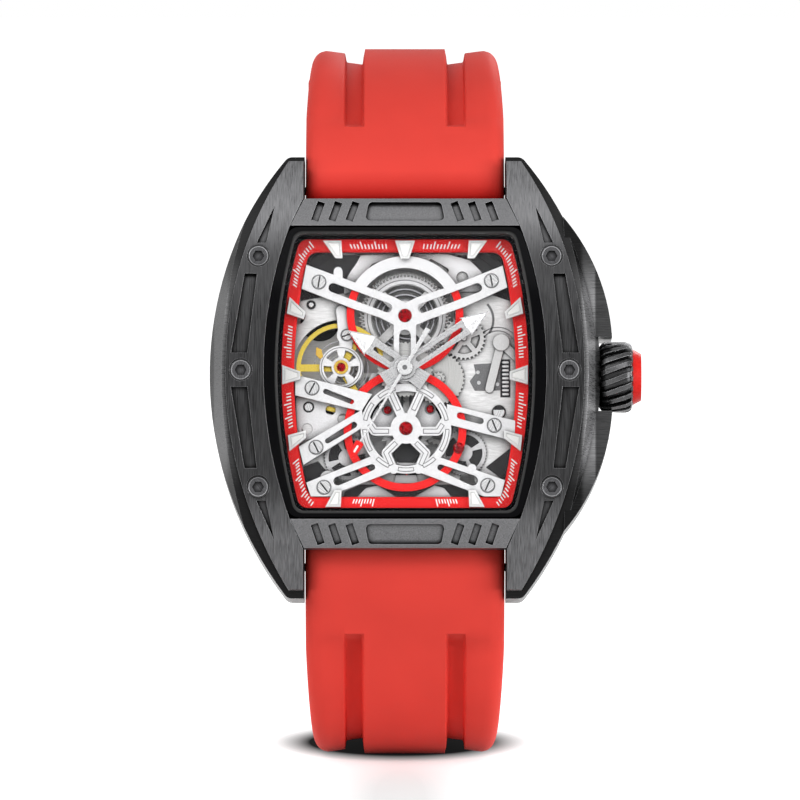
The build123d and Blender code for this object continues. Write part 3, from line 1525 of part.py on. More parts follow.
cock_radius = 2.37
cock_low = 8.45
cock_high = 8.85
cock_holes = 5
cock_hole_turn = 90.0
cock_hole_radius = 0.45
cock_hole_circle = 1.45
cock_arm_width = 1.3
cock_foot_radius = 0.75
with BuildPart() as balance_cock:
    disc(balance_place, cock_radius, cock_low, cock_high)
    layer(bar_outline(balance_place, cock_foot, cock_arm_width), cock_low, cock_high)
    disc(cock_foot, cock_foot_radius, plate_high, cock_high)
    with BuildSketch(Plane.XZ.offset(cock_low)):
        with Locations(balance_place):
            with PolarLocations(cock_hole_circle, cock_holes, cock_hole_turn):
                Circle(cock_hole_radius)
            Circle(jewel_hole)
    extrude(amount=cock_high - cock_low, mode=Mode.SUBTRACT)
write(balance_cock, "balance_cock")

# Motion work and hands
motion_low = 8.4
hour_wheel_low = 8.68
hour_tube_outer = 1.2
hour_tube_inner = 1.0
hour_hand_low = 9.75
hand_thickness = 0.22
cannon_outer = 0.88
cannon_inner = centre_tube_outer + clearance / 2
minute_hand_low = 10.2
seconds_hand_low = 10.72
with BuildPart() as cannon_pinion:
    pinion = gear(cannon_teeth, cannon_pitch)
    layer(placed(pinion, hub, bearing(hub, minute_place)), motion_low, motion_low + wheel_thickness)
    disc(hub, cannon_outer, motion_low, minute_hand_low + hand_thickness)
    disc(hub, cannon_inner, motion_low, minute_hand_low + hand_thickness, Mode.SUBTRACT)
write(cannon_pinion, "cannon_pinion")

with BuildPart() as minute_wheel:
    turn = bearing(minute_place, hub) + 180 / minute_teeth
    rim = fine_gear(minute_teeth, minute_pitch)
    layer(placed(rim, minute_place, turn), motion_low, motion_low + wheel_thickness)
    pinion = placed(
        fine_gear(minute_pinion_teeth, minute_pinion_pitch), minute_place, bearing(minute_place, hub)
    )
    layer(pinion, motion_low + wheel_thickness, hour_wheel_low + wheel_thickness)
    disc(minute_place, arbor_radius + clearance / 2, motion_low, cover_low, Mode.SUBTRACT)
write(minute_wheel, "minute_wheel")

with BuildPart() as setting_wheel:
    turn = bearing(setting_place, minute_place)
    teeth = gear(setting_teeth, setting_pitch)
    rim = spoked(teeth, setting_pitch - window_rim, wheel_hub, train_spokes, wheel_spoke)
    layer(placed(rim, setting_place, turn), motion_low, motion_low + wheel_thickness)
    disc(setting_place, arbor_radius + clearance / 2, motion_low, cover_low, Mode.SUBTRACT)
write(setting_wheel, "setting_wheel")

with BuildPart() as hour_wheel:
    turn = bearing(hub, minute_place) + 180 / hour_teeth
    rim = fine_gear(hour_teeth, hour_pitch)
    layer(placed(rim, hub, turn), hour_wheel_low, hour_wheel_low + wheel_thickness)
    disc(hub, hour_tube_outer, hour_wheel_low, hour_hand_low + hand_thickness)
    disc(hub, hour_tube_inner, hour_wheel_low, hour_hand_low + hand_thickness, Mode.SUBTRACT)
write(hour_wheel, "hour_wheel")


def hand_outline(length, head_place, head_half, neck_half, tail_length, tail_half):
    """A hand that points up: tail, tapered arm and arrow head, with a slot along the arm."""
    right = ((tail_half, -tail_length), (tail_half, -neck_half), (neck_half, 0), (head_half, head_place))
    with BuildSketch() as outline:
        Polygon(*right, (0, length), *[(-x, z) for x, z in reversed(right)], align=None)
        slot_low = hour_tube_outer + hand_slot_gap
        slot_high = head_place - head_half / 2
        add(bar_outline((0, slot_low), (0, slot_high), neck_half), mode=Mode.SUBTRACT)
    return outline.sketch


hour_hand_angle = 56.3
minute_hand_angle = -55.9
seconds_hand_angle = 149.2
hand_tail = 2.7
hand_tail_half = 0.95
hour_hand_length = 7.5
hour_head_place = 5.3
hour_head_half = 1.3
minute_hand_length = 11.2
minute_head_place = 8.5
minute_head_half = 1.1
neck_half = 0.55
hand_slot_gap = 1.65
with BuildPart() as hour_hand:
    outline = hand_outline(
        hour_hand_length, hour_head_place, hour_head_half, neck_half, hand_tail, hand_tail_half
    )
    layer(placed(outline, hub, hour_hand_angle), hour_hand_low, hour_hand_low + hand_thickness)
    disc(hub, hour_tube_outer + 2 * clearance, hour_hand_low, hour_hand_low + hand_thickness)
    disc(hub, hour_tube_outer + clearance / 4, hour_hand_low, hour_hand_low + hand_thickness, Mode.SUBTRACT)
write(hour_hand, "hour_hand")

with BuildPart() as minute_hand:
    outline = hand_outline(
        minute_hand_length, minute_head_place, minute_head_half, neck_half, hand_tail, hand_tail_half
    )
    layer(placed(outline, hub, minute_hand_angle), minute_hand_low, minute_hand_low + hand_thickness)
    disc(hub, cannon_outer + 3 * clearance, minute_hand_low, minute_hand_low + hand_thickness)
    disc(hub, cannon_outer + clearance / 4, minute_hand_low, minute_hand_low + hand_thickness, Mode.SUBTRACT)
write(minute_hand, "minute_hand")

seconds_length = 11.8
seconds_tail = 5.0
seconds_half = 0.12
seconds_tail_half = 0.22
seconds_head_place = 9.6
seconds_head_half = 0.4
seconds_hub = 0.6
with BuildSketch() as seconds_outline:
    Polygon(
        (seconds_tail_half, -seconds_tail),
        (seconds_half, seconds_head_place),
        (seconds_head_half, seconds_head_place),
        (0, seconds_length),
        (-seconds_head_half, seconds_head_place),
        (-seconds_half, seconds_head_place),
        (-seconds_tail_half, -seconds_tail),
        align=None,
    )
with BuildPart() as seconds_hand:
    high = seconds_hand_low + hand_thickness
    layer(placed(seconds_outline.sketch, hub, seconds_hand_angle), seconds_hand_low, high)
    disc(hub, seconds_hub, seconds_hand_low, high)
    disc(hub, arbor_radius + clearance / 4, seconds_hand_low, high, Mode.SUBTRACT)
write(seconds_hand, "seconds_hand")

# Setting lever over the stem
lever_pivot = (10.6, 3.6)
lever_tail = (9.3, -1.5)
lever_width = 0.9
lever_pin_low = 7.0
with BuildPart() as setting_lever:
    layer(bar_outline(lever_pivot, lever_tail, lever_width), motion_low, motion_low + wheel_thickness)
    layer(bar_outline(lever_pivot, lever_pin_place, lever_width), motion_low, motion_low + wheel_thickness)
    disc(lever_pivot, lever_width, motion_low, motion_low + 2 * wheel_thickness)
    disc(lever_pin_place, lever_pin_radius, lever_pin_low, motion_low)
write(setting_lever, "setting_lever")

# Rotor: a half disc with a heavy rim, on the post of the back bridge
rotor_outer = 14.5
rotor_rim = 2.2
rotor_plate_low = 2.6
rotor_plate_high = 2.8
rotor_rim_high = 3.35
rotor_rim_low = 2.5
rotor_hub = 2.2
rotor_hub_low = 2.1
rotor_hub_high = 2.95
rotor_windows = 3
rotor_window_inner = 4.0
rotor_window_outer = 10.6
rotor_window_step = 52.0
rotor_window_end_width = 6.6
with BuildPart() as rotor:
    disc((0, 0), rotor_outer, rotor_rim_low, rotor_rim_high)
    disc((0, 0), rotor_outer - rotor_rim, rotor_rim_low, rotor_rim_high, Mode.SUBTRACT)
    disc((0, 0), rotor_outer - rotor_rim, rotor_plate_low, rotor_plate_high)
    with BuildSketch(Plane.XZ):
        for step in range(rotor_windows):
            angle = rotor_window_step * (step - 1) - 90
            add(
                tapered_bar(
                    around((0, 0), rotor_window_inner, angle),
                    around((0, 0), rotor_window_outer, angle),
                    rotor_hub,
                    rotor_window_end_width,
                )
            )
        with Locations((0, 0)):
            Rectangle(2 * rotor_outer, rotor_outer, align=(Align.CENTER, Align.MIN))
    extrude(amount=bridge_low, mode=Mode.SUBTRACT)
    disc((0, 0), rotor_hub, rotor_hub_low, rotor_hub_high)
    disc((0, 0), rotor_post_radius + clearance, rotor_hub_low, rotor_hub_high, Mode.SUBTRACT)
write(rotor, "rotor")
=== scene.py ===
"""Looks of a tonneau wrist watch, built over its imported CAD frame."""

import math

import bmesh
import bpy
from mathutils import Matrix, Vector


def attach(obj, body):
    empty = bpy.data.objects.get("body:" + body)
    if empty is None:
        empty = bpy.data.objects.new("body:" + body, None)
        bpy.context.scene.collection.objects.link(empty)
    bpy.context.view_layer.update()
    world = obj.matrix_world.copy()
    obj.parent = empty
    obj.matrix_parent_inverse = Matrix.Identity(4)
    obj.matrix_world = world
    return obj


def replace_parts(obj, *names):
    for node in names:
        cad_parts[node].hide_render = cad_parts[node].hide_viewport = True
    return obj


MM = 0.001

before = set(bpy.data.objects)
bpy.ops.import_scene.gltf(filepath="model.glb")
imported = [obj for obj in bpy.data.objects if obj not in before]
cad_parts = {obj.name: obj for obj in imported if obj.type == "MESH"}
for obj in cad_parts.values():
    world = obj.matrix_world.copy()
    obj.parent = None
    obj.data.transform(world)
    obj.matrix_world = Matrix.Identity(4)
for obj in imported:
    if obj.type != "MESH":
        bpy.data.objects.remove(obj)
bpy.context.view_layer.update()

# Camera and studio

DIAL_DEPTH = 9.6 * MM
VIEW_SIDE = -0.55 * MM
VIEW_CENTRE = Vector((VIEW_SIDE, -DIAL_DEPTH, -2.86 * MM))
VIEW_WIDTH = 88 * MM
VIEW_DISTANCE = 1.0
VIEW_FROM_BELOW = math.radians(5.8)
LEAN_BACK = math.radians(9.0)
LOOP_CENTRE = Vector((0, 19.5 * MM, -8.1 * MM))
LOOP_RADIUS = 31.8 * MM
ROOM_GLOW = 0.32
FLOOR_GREY = (0.55, 0.55, 0.55)
FLOOR_CORNERS = ((-3, -1.2), (3, -1.2), (3, 6), (-3, 6))
# Ovals on the floor: a dark painted shadow under the strap, and a painted reflection of the strap in front
# of it. Each has the distance of its centre behind the strap's foot, half width, half depth, and the share
# of the half size and the glow at the inner and outer end of its painted shading
FLOOR_OVALS = (
    (0.0125, 0.0152, 0.0238, 0.68, 0.015, 1.0, 1.0),
    (-0.05, 0.0135, 0.13, 0.2, 0.43, 1.0, 1.0),
)
# Lamps: place in the studio, size and power
LAMPS = {
    "key": ((-0.42, -0.6, 0.5), (0.35, 0.35), 3.0),
    "top": ((0.05, -0.45, 0.5), (0.5, 0.3), 1.2),
    "fill": ((0.6, -0.6, 0.2), (0.35, 0.5), 2.3),
    "low_left": ((-0.5, -0.62, 0.0), (0.3, 0.08), 1.3),
    "low_right": ((0.5, -0.62, 0.0), (0.3, 0.08), 1.3),
    "back": ((0.3, 0.8, 0.45), (0.4, 0.3), 1.5),
    "side_right": ((0.75, -0.12, 0.02), (0.2, 0.3), 2.2),
    "side_left": ((-0.75, -0.12, 0.0), (0.2, 0.3), 0.9),
}

UP = Vector((0, -math.sin(LEAN_BACK), math.cos(LEAN_BACK)))


def placed(name, data):
    """A new object of the scene."""
    made = bpy.data.objects.new(name, data)
    bpy.context.scene.collection.objects.link(made)
    return made


def look_along(thing, way):
    thing.rotation_mode = "QUATERNION"
    thing.rotation_quaternion = way.to_track_quat("-Z", "Y")


def make_camera():
    data = bpy.data.cameras.new("camera")
    camera = placed("camera", data)
    back = Vector((0, -math.cos(VIEW_FROM_BELOW), -math.sin(VIEW_FROM_BELOW)))
    camera.location = VIEW_CENTRE + back * VIEW_DISTANCE
    look_along(camera, -back)
    data.lens = data.sensor_width * VIEW_DISTANCE / VIEW_WIDTH
    data.clip_start, data.clip_end = 0.05, 20
    bpy.context.scene.camera = camera


def in_studio(x, y, z):
    """A point of the studio, whose floor is level, in the watch's frame."""
    across = Vector((0, math.cos(LEAN_BACK), math.sin(LEAN_BACK)))
    return Vector((x, 0, 0)) + across * y + UP * z


def area_light(name, place, size, power):
    data = bpy.data.lights.new(name, "AREA")
    data.shape = "RECTANGLE"
    data.size, data.size_y = size
    data.energy = power
    light = placed(name, data)
    light.location = in_studio(*place)
    look_along(light, -light.location)


def add_node(tree, kind, inputs=(), **settings):
    """A shader node with its settings, and with inputs that are values or sockets to link."""
    made = tree.nodes.new("ShaderNode" + kind)
    for setting, value in settings.items():
        setattr(made, setting, value)
    for socket, value in dict(inputs).items():
        if isinstance(value, bpy.types.NodeSocket):
            tree.links.new(value, made.inputs[socket])
        else:
            made.inputs[socket].default_value = value
    return made


def map_range(tree, value, start, end, low, high, **settings):
    values = {"Value": value, "From Min": start, "From Max": end, "To Min": low, "To Max": high}
    return add_node(tree, "MapRange", values, **settings).outputs["Result"]


def number_node(tree, operation, first, second=0.0):
    """The result of a step of arithmetic on values or sockets."""
    return add_node(tree, "Math", {0: first, 1: second}, operation=operation).outputs[0]


def vector_node(tree, operation, *inputs, output=0, **more):
    """The result of a step of vector arithmetic on values or sockets."""
    values = {**dict(enumerate(inputs)), **more}
    return add_node(tree, "VectorMath", values, operation=operation).outputs[output]


def seen_rays(tree):
    """1 for rays that show the background, straight, in gloss or through glass."""
    path = add_node(tree, "LightPath").outputs
    seen = path["Is Camera Ray"]
    for ray in ("Is Glossy Ray", "Is Transmission Ray"):
        seen = number_node(tree, "MAXIMUM", seen, path[ray])
    return seen


def make_world():
    world = bpy.data.worlds.new("studio")
    bpy.context.scene.world = world
    world.use_nodes = True
    tree = world.node_tree
    tree.nodes.clear()
    lit = add_node(tree, "Background", {"Strength": ROOM_GLOW}).outputs[0]
    shown = add_node(tree, "Background", {"Color": (1, 1, 1, 1), "Strength": 1.0}).outputs[0]
    mix = add_node(tree, "MixShader", {"Fac": seen_rays(tree), 1: lit, 2: shown}).outputs[0]
    add_node(tree, "OutputWorld", {"Surface": mix})


def floor_shader(tree, touch):
    """A white floor whose glow leaves out the ovals: a dark painted shadow under the strap,
    and a painted reflection of the strap in front of it.
    """
    tree.nodes.clear()
    matt = add_node(tree, "BsdfDiffuse")
    place = add_node(tree, "NewGeometry").outputs["Position"]
    strength = seen_rays(tree)
    for behind, width, depth, inner, inner_glow, outer, outer_glow in FLOOR_OVALS:
        centre = in_studio(VIEW_SIDE, behind, 0) + touch
        away = vector_node(tree, "SUBTRACT", place, centre)
        scaled = vector_node(tree, "MULTIPLY", away, (1 / width, 1 / depth, 1 / depth))
        reach = vector_node(tree, "LENGTH", scaled, output="Value")
        fade = map_range(tree, reach, inner, outer, inner_glow, outer_glow)
        strength = number_node(tree, "MULTIPLY", strength, fade)
        # Under the strap the floor's matt grey is darkened too: painted shadow.
        if behind > 0:
            tree.links.new(vector_node(tree, "SCALE", FLOOR_GREY, Scale=fade), matt.inputs["Color"])
    glow = add_node(tree, "Emission", {"Strength": strength}).outputs[0]
    both = add_node(tree, "AddShader", {0: matt.outputs[0], 1: glow}).outputs[0]
    add_node(tree, "OutputMaterial", {"Surface": both})


def make_floor():
    touch = LOOP_CENTRE - UP * LOOP_RADIUS
    mesh = bpy.data.meshes.new("floor")
    mesh.from_pydata([in_studio(x, y, touch.dot(UP)) for x, y in FLOOR_CORNERS], [], [(0, 1, 2, 3)])
    floor = placed("floor", mesh)
    material = bpy.data.materials.new("floor_white")
    material.use_nodes = True
    floor_shader(material.node_tree, touch)
    mesh.materials.append(material)


bpy.context.scene.view_settings.view_transform = "Standard"
make_camera()
make_world()
make_floor()
for lamp, (place, size, power) in LAMPS.items():
    area_light(lamp, place, size, power)

# Materials

EDGE_RADIUS = 0.06
WIDE_REACH = 1.4
BALANCE_AT = (-7.04, 0.85)


class Surface:
    """A node material: one Principled shader, its detail worked out from the object's coordinates."""

    def __init__(self, name, colour, metallic=0.0, rough=0.5, **sockets):
        self.material = bpy.data.materials.new(name)
        self.material.use_nodes = True
        self.tree = self.material.node_tree
        self.shader = self.tree.nodes["Principled BSDF"]
        self.colour = colour
        self.rough = rough
        self.height = None
        self.set("Base Color", (*colour, 1))
        self.set("Metallic", metallic)
        self.set("Roughness", rough)
        for socket, value in sockets.items():
            self.set(socket.replace("_", " "), value)

    def set(self, socket, value):
        self.shader.inputs[socket].default_value = value

    def add(self, kind, values=(), **settings):
        return add_node(self.tree, kind, values, **settings)

    def number(self, *values):
        return number_node(self.tree, *values)

    def vector(self, *values, **more):
        return vector_node(self.tree, *values, **more)

    def link(self, output, socket):
        self.tree.links.new(output, self.shader.inputs[socket])
        return self

    def base(self):
        """The base colour so far, as a socket or a plain colour."""
        socket = self.shader.inputs["Base Color"]
        return socket.links[0].from_socket if socket.is_linked else (*self.colour, 1)

    def mix_base(self, share, low, high):
        """The base colour runs from one colour to another with a share."""
        mix = self.add("Mix", {0: share, 6: low, 7: high}, data_type="RGBA")
        return self.link(mix.outputs[2], "Base Color")

    def axes(self):
        return self.add("SeparateXYZ", {"Vector": self.add("TexCoord").outputs["Object"]}).outputs

    def place(self, per_mm=(1, 1, 1)):
        """Object coordinates in millimetres times per_mm: a noise has features of 1/per_mm."""
        scale = [value / MM for value in per_mm]
        grain = self.add("TexCoord").outputs["Object"]
        return self.add("Mapping", {"Vector": grain, "Scale": scale}).outputs["Vector"]

    def round_place(self, centre, per_mm):
        """Coordinates that are the same all round a centre in the dial's plane: radius and depth."""
        place = self.add("TexCoord").outputs["Object"]
        middle = (centre[0] * MM, 0, centre[1] * MM)
        split = self.add("SeparateXYZ", {0: self.vector("SUBTRACT", place, middle)}).outputs
        flat = self.add("CombineXYZ", {0: split[0], 2: split[2]}).outputs[0]
        out = self.number("MULTIPLY", self.vector("LENGTH", flat, output="Value"), per_mm / MM)
        return self.add("CombineXYZ", {0: out, 2: split[1]}).outputs[0]

    def noise(self, place, detail=3.0, rough=0.55):
        values = {"Vector": place, "Scale": 1.0, "Detail": detail, "Roughness": rough}
        return self.add("TexNoise", values).outputs["Fac"]

    def swing_rough(self, grain, amount):
        low, high = max(self.rough - amount, 0.02), min(self.rough + amount, 1)
        return self.link(map_range(self.tree, grain, 0.3, 0.7, low, high), "Roughness")

    def swing_colour(self, grain, amount, low=0.3, high=0.7):
        """The colour gets darker and lighter with the grain, by a share of itself."""
        ramp = self.add("ValToRGB", {"Fac": grain})
        for element, place, share in zip(ramp.color_ramp.elements, (low, high), (1 - amount, 1 + amount)):
            element.position = place
            element.color = (*[min(c * share, 1) for c in self.colour], 1)
        return self.link(ramp.outputs["Color"], "Base Color")

    def bump(self, grain, height_mm, strength=1.0):
        values = {"Height": grain, "Distance": height_mm * MM, "Strength": strength}
        if self.height is not None:
            values["Normal"] = self.height
        self.height = self.add("Bump", values).outputs["Normal"]
        return self.link(self.height, "Normal")

    def fade(self, axis, start_mm, end_mm, start, end):
        """The colour is scaled by a share that changes along an axis, on both sides or, with +, on one:
        painted light and shade.
        """
        away = self.axes()[axis[-1]]
        if not axis.startswith("+"):
            away = self.number("ABSOLUTE", away)
        ends = (start_mm * MM, end_mm * MM, start, end)
        factor = map_range(self.tree, away, *ends, interpolation_type="SMOOTHSTEP")
        return self.link(self.vector("SCALE", self.base(), Scale=factor), "Base Color")

    def paint_crevice_shade(self, reach_mm=0.6, amount=0.9, full=0.35):
        """Corners and recesses are darker, by up to this amount: painted shade, from ambient occlusion."""
        near = self.add("AmbientOcclusion", {"Distance": reach_mm * MM}, samples=6).outputs["AO"]
        share = map_range(self.tree, near, full, 0.95, 1 - amount, 1.0)
        return self.mix_base(share, (0, 0, 0, 1), self.base())

    def paint_edge_highlight(self, colour, radius_mm=0.1):
        """Edges are painted a lighter colour: a painted highlight, as where a chamfer catches the light."""
        rounded = self.add("Bevel", {"Radius": radius_mm * MM}, samples=6).outputs["Normal"]
        plain = self.add("NewGeometry").outputs["Normal"]
        match = self.vector("DOT_PRODUCT", rounded, plain, output="Value")
        return self.mix_base(map_range(self.tree, match, 0.72, 0.985, 1.0, 0.0), self.base(), (*colour, 1))

    def soft_edges(self, radius_mm=EDGE_RADIUS):
        made = self.add("Bevel", {"Radius": radius_mm * MM}, samples=4)
        self.height = made.outputs["Normal"]
        return self.link(self.height, "Normal")


def brushed(
    name, colour, rough, per_mm, metallic=1.0, depth=0.004, swing=0.12, tint=0.15, shade=0.9,
    edge_highlight=None, painted_shadings=(), reach=0.6, **sockets
):
    made = Surface(name, colour, metallic, rough, **sockets).soft_edges()
    fine = made.noise(made.place(per_mm), detail=4)
    broad = made.noise(made.place((0.25, 0.25, 0.25)), detail=2)
    made.swing_rough(fine, swing).swing_colour(fine, tint).bump(fine, depth)
    made.bump(broad, 0.01, 0.3)
    # Painted light and shade: the colour scaled along axes.
    for fade in painted_shadings:
        made.fade(*fade)
    # A painted highlight on the edges, and a close pass of painted shade in the crevices.
    if edge_highlight:
        made.paint_edge_highlight(edge_highlight).paint_crevice_shade(0.3, 0.8, 0.5)
    # Painted shade in the crevices.
    return made.paint_crevice_shade(reach, shade).material


def blasted(
    name, colour, rough, grain_mm=0.12, metallic=1.0, depth=0.01, tint=0.2, shade=0.8, reach=0.6, **sockets
):
    made = Surface(name, colour, metallic, rough, **sockets).soft_edges()
    fine = made.noise(made.place((1 / grain_mm,) * 3), detail=5, rough=0.6)
    made.swing_rough(fine, 0.1).swing_colour(fine, tint).bump(fine, depth)
    # Painted shade in the crevices.
    return made.paint_crevice_shade(reach, shade).material


def turned(name, colour, rough, centre, per_mm=14.0):
    made = Surface(name, colour, 1.0, rough).soft_edges(EDGE_RADIUS / 2)
    rings = made.noise(made.round_place(centre, per_mm), detail=2)
    made.swing_rough(rings, 0.12).swing_colour(rings, 0.15).bump(rings, 0.003)
    # Painted shade in the crevices.
    return made.paint_crevice_shade().material


def polished(name, colour, rough=0.12, metallic=1.0, shade=0.8, **sockets):
    made = Surface(name, colour, metallic, rough, **sockets).soft_edges(0.04)
    smears = made.noise(made.place((0.6, 0.6, 0.6)))
    made.swing_rough(smears, 0.05).swing_colour(smears, 0.05).bump(smears, 0.004, 0.4)
    # Painted shade in the crevices.
    return made.paint_crevice_shade(amount=shade).material


def cut_ruby():
    """Ruby whose facets each get a different depth of red: painted light, as each facet catches light."""
    made = Surface("ruby_cut", (0.3, 0.001, 0.004), 0.0, 0.12, Specular_IOR_Level=0.12).soft_edges(0.015)
    facets = made.add("TexVoronoi", {"Vector": made.place((4.2, 0.5, 4.2)), "Scale": 1.0}).outputs["Color"]
    made.swing_colour(facets, 0.85, 0.1, 0.9)
    return made.swing_rough(made.noise(made.place((2, 2, 2)), detail=2), 0.03).material


def silicone():
    """Red rubber with painted light and shade: deep red where the strap goes under the case, lighter
    towards the bottom of the lower strap and a little darker towards the top of the upper one.
    """
    made = Surface("red_silicone", (0.67, 0.055, 0.042), 0.0, 0.55, Specular_IOR_Level=0.05)
    skin = made.noise(made.place((9, 9, 9)), detail=5)
    broad = made.noise(made.place((0.09, 0.09, 0.09)), detail=2)
    made.swing_rough(skin, 0.08).swing_colour(broad, 0.05).bump(skin, 0.006)
    # Painted light at the bottom of the lower strap, painted shade at the top of the upper one.
    made.fade("+Z", -38, -24, 1.38, 1.0).fade("+Z", 20, 27, 1.0, 0.9)
    # Painted shade: deep red on the upper strap's front, near the case.
    axes, plain = made.axes(), 0.0
    for axis, deep, clear in (("Z", 19.3, 22.9), ("Z", 12, 8), ("Y", 2, 6)):
        share = map_range(made.tree, axes[axis], deep * MM, clear * MM, 0.0, 1.0)
        plain = made.number("MAXIMUM", share, plain)
    made.mix_base(plain, (0.33, 0.0, 0.0, 1), made.base())
    made.set("Subsurface Weight", 0.08)
    made.set("Subsurface Scale", 1.5 * MM)
    made.set("Subsurface Radius", (1.0, 0.3, 0.2))
    return made.material


def glass():
    made = Surface("sapphire", (0.02, 0.02, 0.025), 0.0, 0.03, IOR=1.6, Alpha=0.06)
    return made.swing_rough(made.noise(made.place((0.4, 0.4, 0.4)), detail=2), 0.015).material


# Painted light and shade: darker towards the top and bottom, lighter on the flanks and more so on the right,
# darker outermost by the crown's guards; the edge colour is a painted highlight.
case_black = brushed(
    "case_black", (0.05, 0.05, 0.051), 0.32, (0.4, 1.5, 14), metallic=0.85, tint=0.3,
    edge_highlight=(0.16, 0.16, 0.165), shade=0.6, painted_shadings=(
        ("Z", 8, 13.5, 1, 0.16), ("X", 19.2, 19.7, 1, 2.4), ("X", 20.9, 21.1, 1, 0.45),
        ("+X", 19.2, 19.9, 1, 1.9), ("+X", 20.8, 21.0, 1, 0.45),
    ),
)
# Painted highlight: lighter towards the lugs; the edge colour is a painted highlight too.
rail_steel = brushed(
    "rail_gunmetal", (0.031, 0.031, 0.032), 0.36, (12, 1.5, 0.4), metallic=0.9, tint=0.45,
    edge_highlight=(0.2, 0.2, 0.205), painted_shadings=(("Z", 12, 18.5, 1, 3.3),),
)
# Painted light: the lower end bar lighter; the edge colour is a painted highlight.
bar_steel = brushed(
    "bar_gunmetal", (0.092, 0.092, 0.095), 0.4, (9, 4, 9), metallic=0.9, tint=0.35, edge_highlight=(0.3, 0.3, 0.31),
    painted_shadings=(("+Z", -16, -10, 1.45, 1),),
)
# The crown's edge colour is a painted highlight.
crown_steel = brushed(
    "crown_steel", (0.078, 0.078, 0.08), 0.3, (3, 3, 12), metallic=0.95, tint=0.3, shade=1.0,
    edge_highlight=(0.4, 0.4, 0.41),
)
ring_black = polished("gloss_black", (0.002, 0.002, 0.0025), 0.14, 0.0, Specular_IOR_Level=0.03)
bolt_steel = turned("bolt_steel", (0.09, 0.09, 0.094), 0.3, (0, 0), 6)
sapphire = glass()
seal = blasted("seal_rubber", (0.012, 0.012, 0.012), 0.7, 0.2, 0.0)
cap_red = blasted("cap_red", (0.6, 0.016, 0.013), 0.3, 0.3, 0.0, 0.004, tint=0.1, Specular_IOR_Level=0.1)
red_lacquer = blasted(
    "red_lacquer", (0.97, 0.022, 0.022), 0.45, 0.1, 0.0, 0.003, tint=0.05, shade=0.1,
    Specular_IOR_Level=0.12,
)
marker_steel = polished("marker_steel", (0.97, 0.97, 0.97), 0.25, 0.1, shade=0.1)
# The hands' edge colour is a painted highlight.
hand_steel = brushed(
    "hand_steel", (0.66, 0.66, 0.67), 0.28, (3, 3, 3), depth=0.0008, swing=0.05, tint=0.04, shade=0.35,
    edge_highlight=(0.95, 0.95, 0.96),
)
red_silicone = silicone()
bridge_steel = blasted("bridge_steel", (0.74, 0.74, 0.75), 0.42, 0.14, 0.9, 0.004, tint=0.08)
wheel_steel = blasted("wheel_steel", (0.6, 0.6, 0.6), 0.38, 0.1, shade=0.98, reach=WIDE_REACH)
plate_dark = blasted("plate_dark", (0.01, 0.01, 0.011), 0.5, 0.15, 0.6)
plate_grey = brushed("plate_grey", (0.66, 0.66, 0.66), 0.45, (1.2, 2, 9), shade=0.95, reach=WIDE_REACH)
brass = turned("wheel_steel_turned", (0.56, 0.56, 0.55), 0.34, (0, 0.6))
balance_gold = turned("balance_gold", (0.95, 0.68, 0.12), 0.22, BALANCE_AT)
jewel = polished("ruby", (0.55, 0.005, 0.02), 0.08, 0.0, Coat_Weight=1.0)
ruby_red = cut_ruby()
window_dark = brushed("window_dark", (0.035, 0.035, 0.036), 0.4, (1.5, 2, 9), tint=0.7)
spring_steel = polished("spring_steel", (0.5, 0.5, 0.53), 0.25)
rotor_steel = turned("rotor_steel", (0.06, 0.06, 0.063), 0.35, (0, 0))

# Its emission is a painted glow that makes the lume a brighter white.
lume_white = blasted(
    "lume_white", (0.98, 0.98, 0.96), 0.6, 0.1, 0.0, 0.002,
    tint=0.02, shade=0.0, Emission_Strength=0.12,
)
hand_white = blasted("hand_white", (0.82, 0.82, 0.83), 0.3, 0.2, 0.95, 0.001, tint=0.03, shade=0.3)
detail_grey = blasted(
    "detail_grey", (0.58, 0.58, 0.59), 0.4, 0.12, 0.9, 0.005,
    tint=0.15, shade=0.98, reach=WIDE_REACH,
)
detail_pale = blasted(
    "detail_pale", (0.72, 0.72, 0.73), 0.42, 0.14, 0.9, 0.004,
    tint=0.1, shade=0.98, reach=WIDE_REACH,
)
# Painted shade: black laid in wells, slots, gaps and shaded corners.
painted_shade_black = blasted("painted_shade_black", (0.006, 0.006, 0.007), 0.6, 0.2, 0.2, 0.005)
bolt_rim_highlight = polished("bolt_rim_highlight", (0.3, 0.3, 0.31), 0.3)
line_grey = blasted("line_grey", (0.16, 0.16, 0.165), 0.5, 0.1, 0.5, 0.002)
screw_steel = turned("screw_steel", (0.8, 0.8, 0.81), 0.24, (0, 0), 9)
gold = polished("gold", (0.95, 0.62, 0.12), 0.18)
# Its emission is a painted glow that makes the print a brighter white.
print_white = blasted(
    "print_white", (0.98, 0.98, 0.96), 0.5, 0.08, 0.0, 0.001,
    tint=0.02, shade=0.0, Emission_Strength=0.12,
)

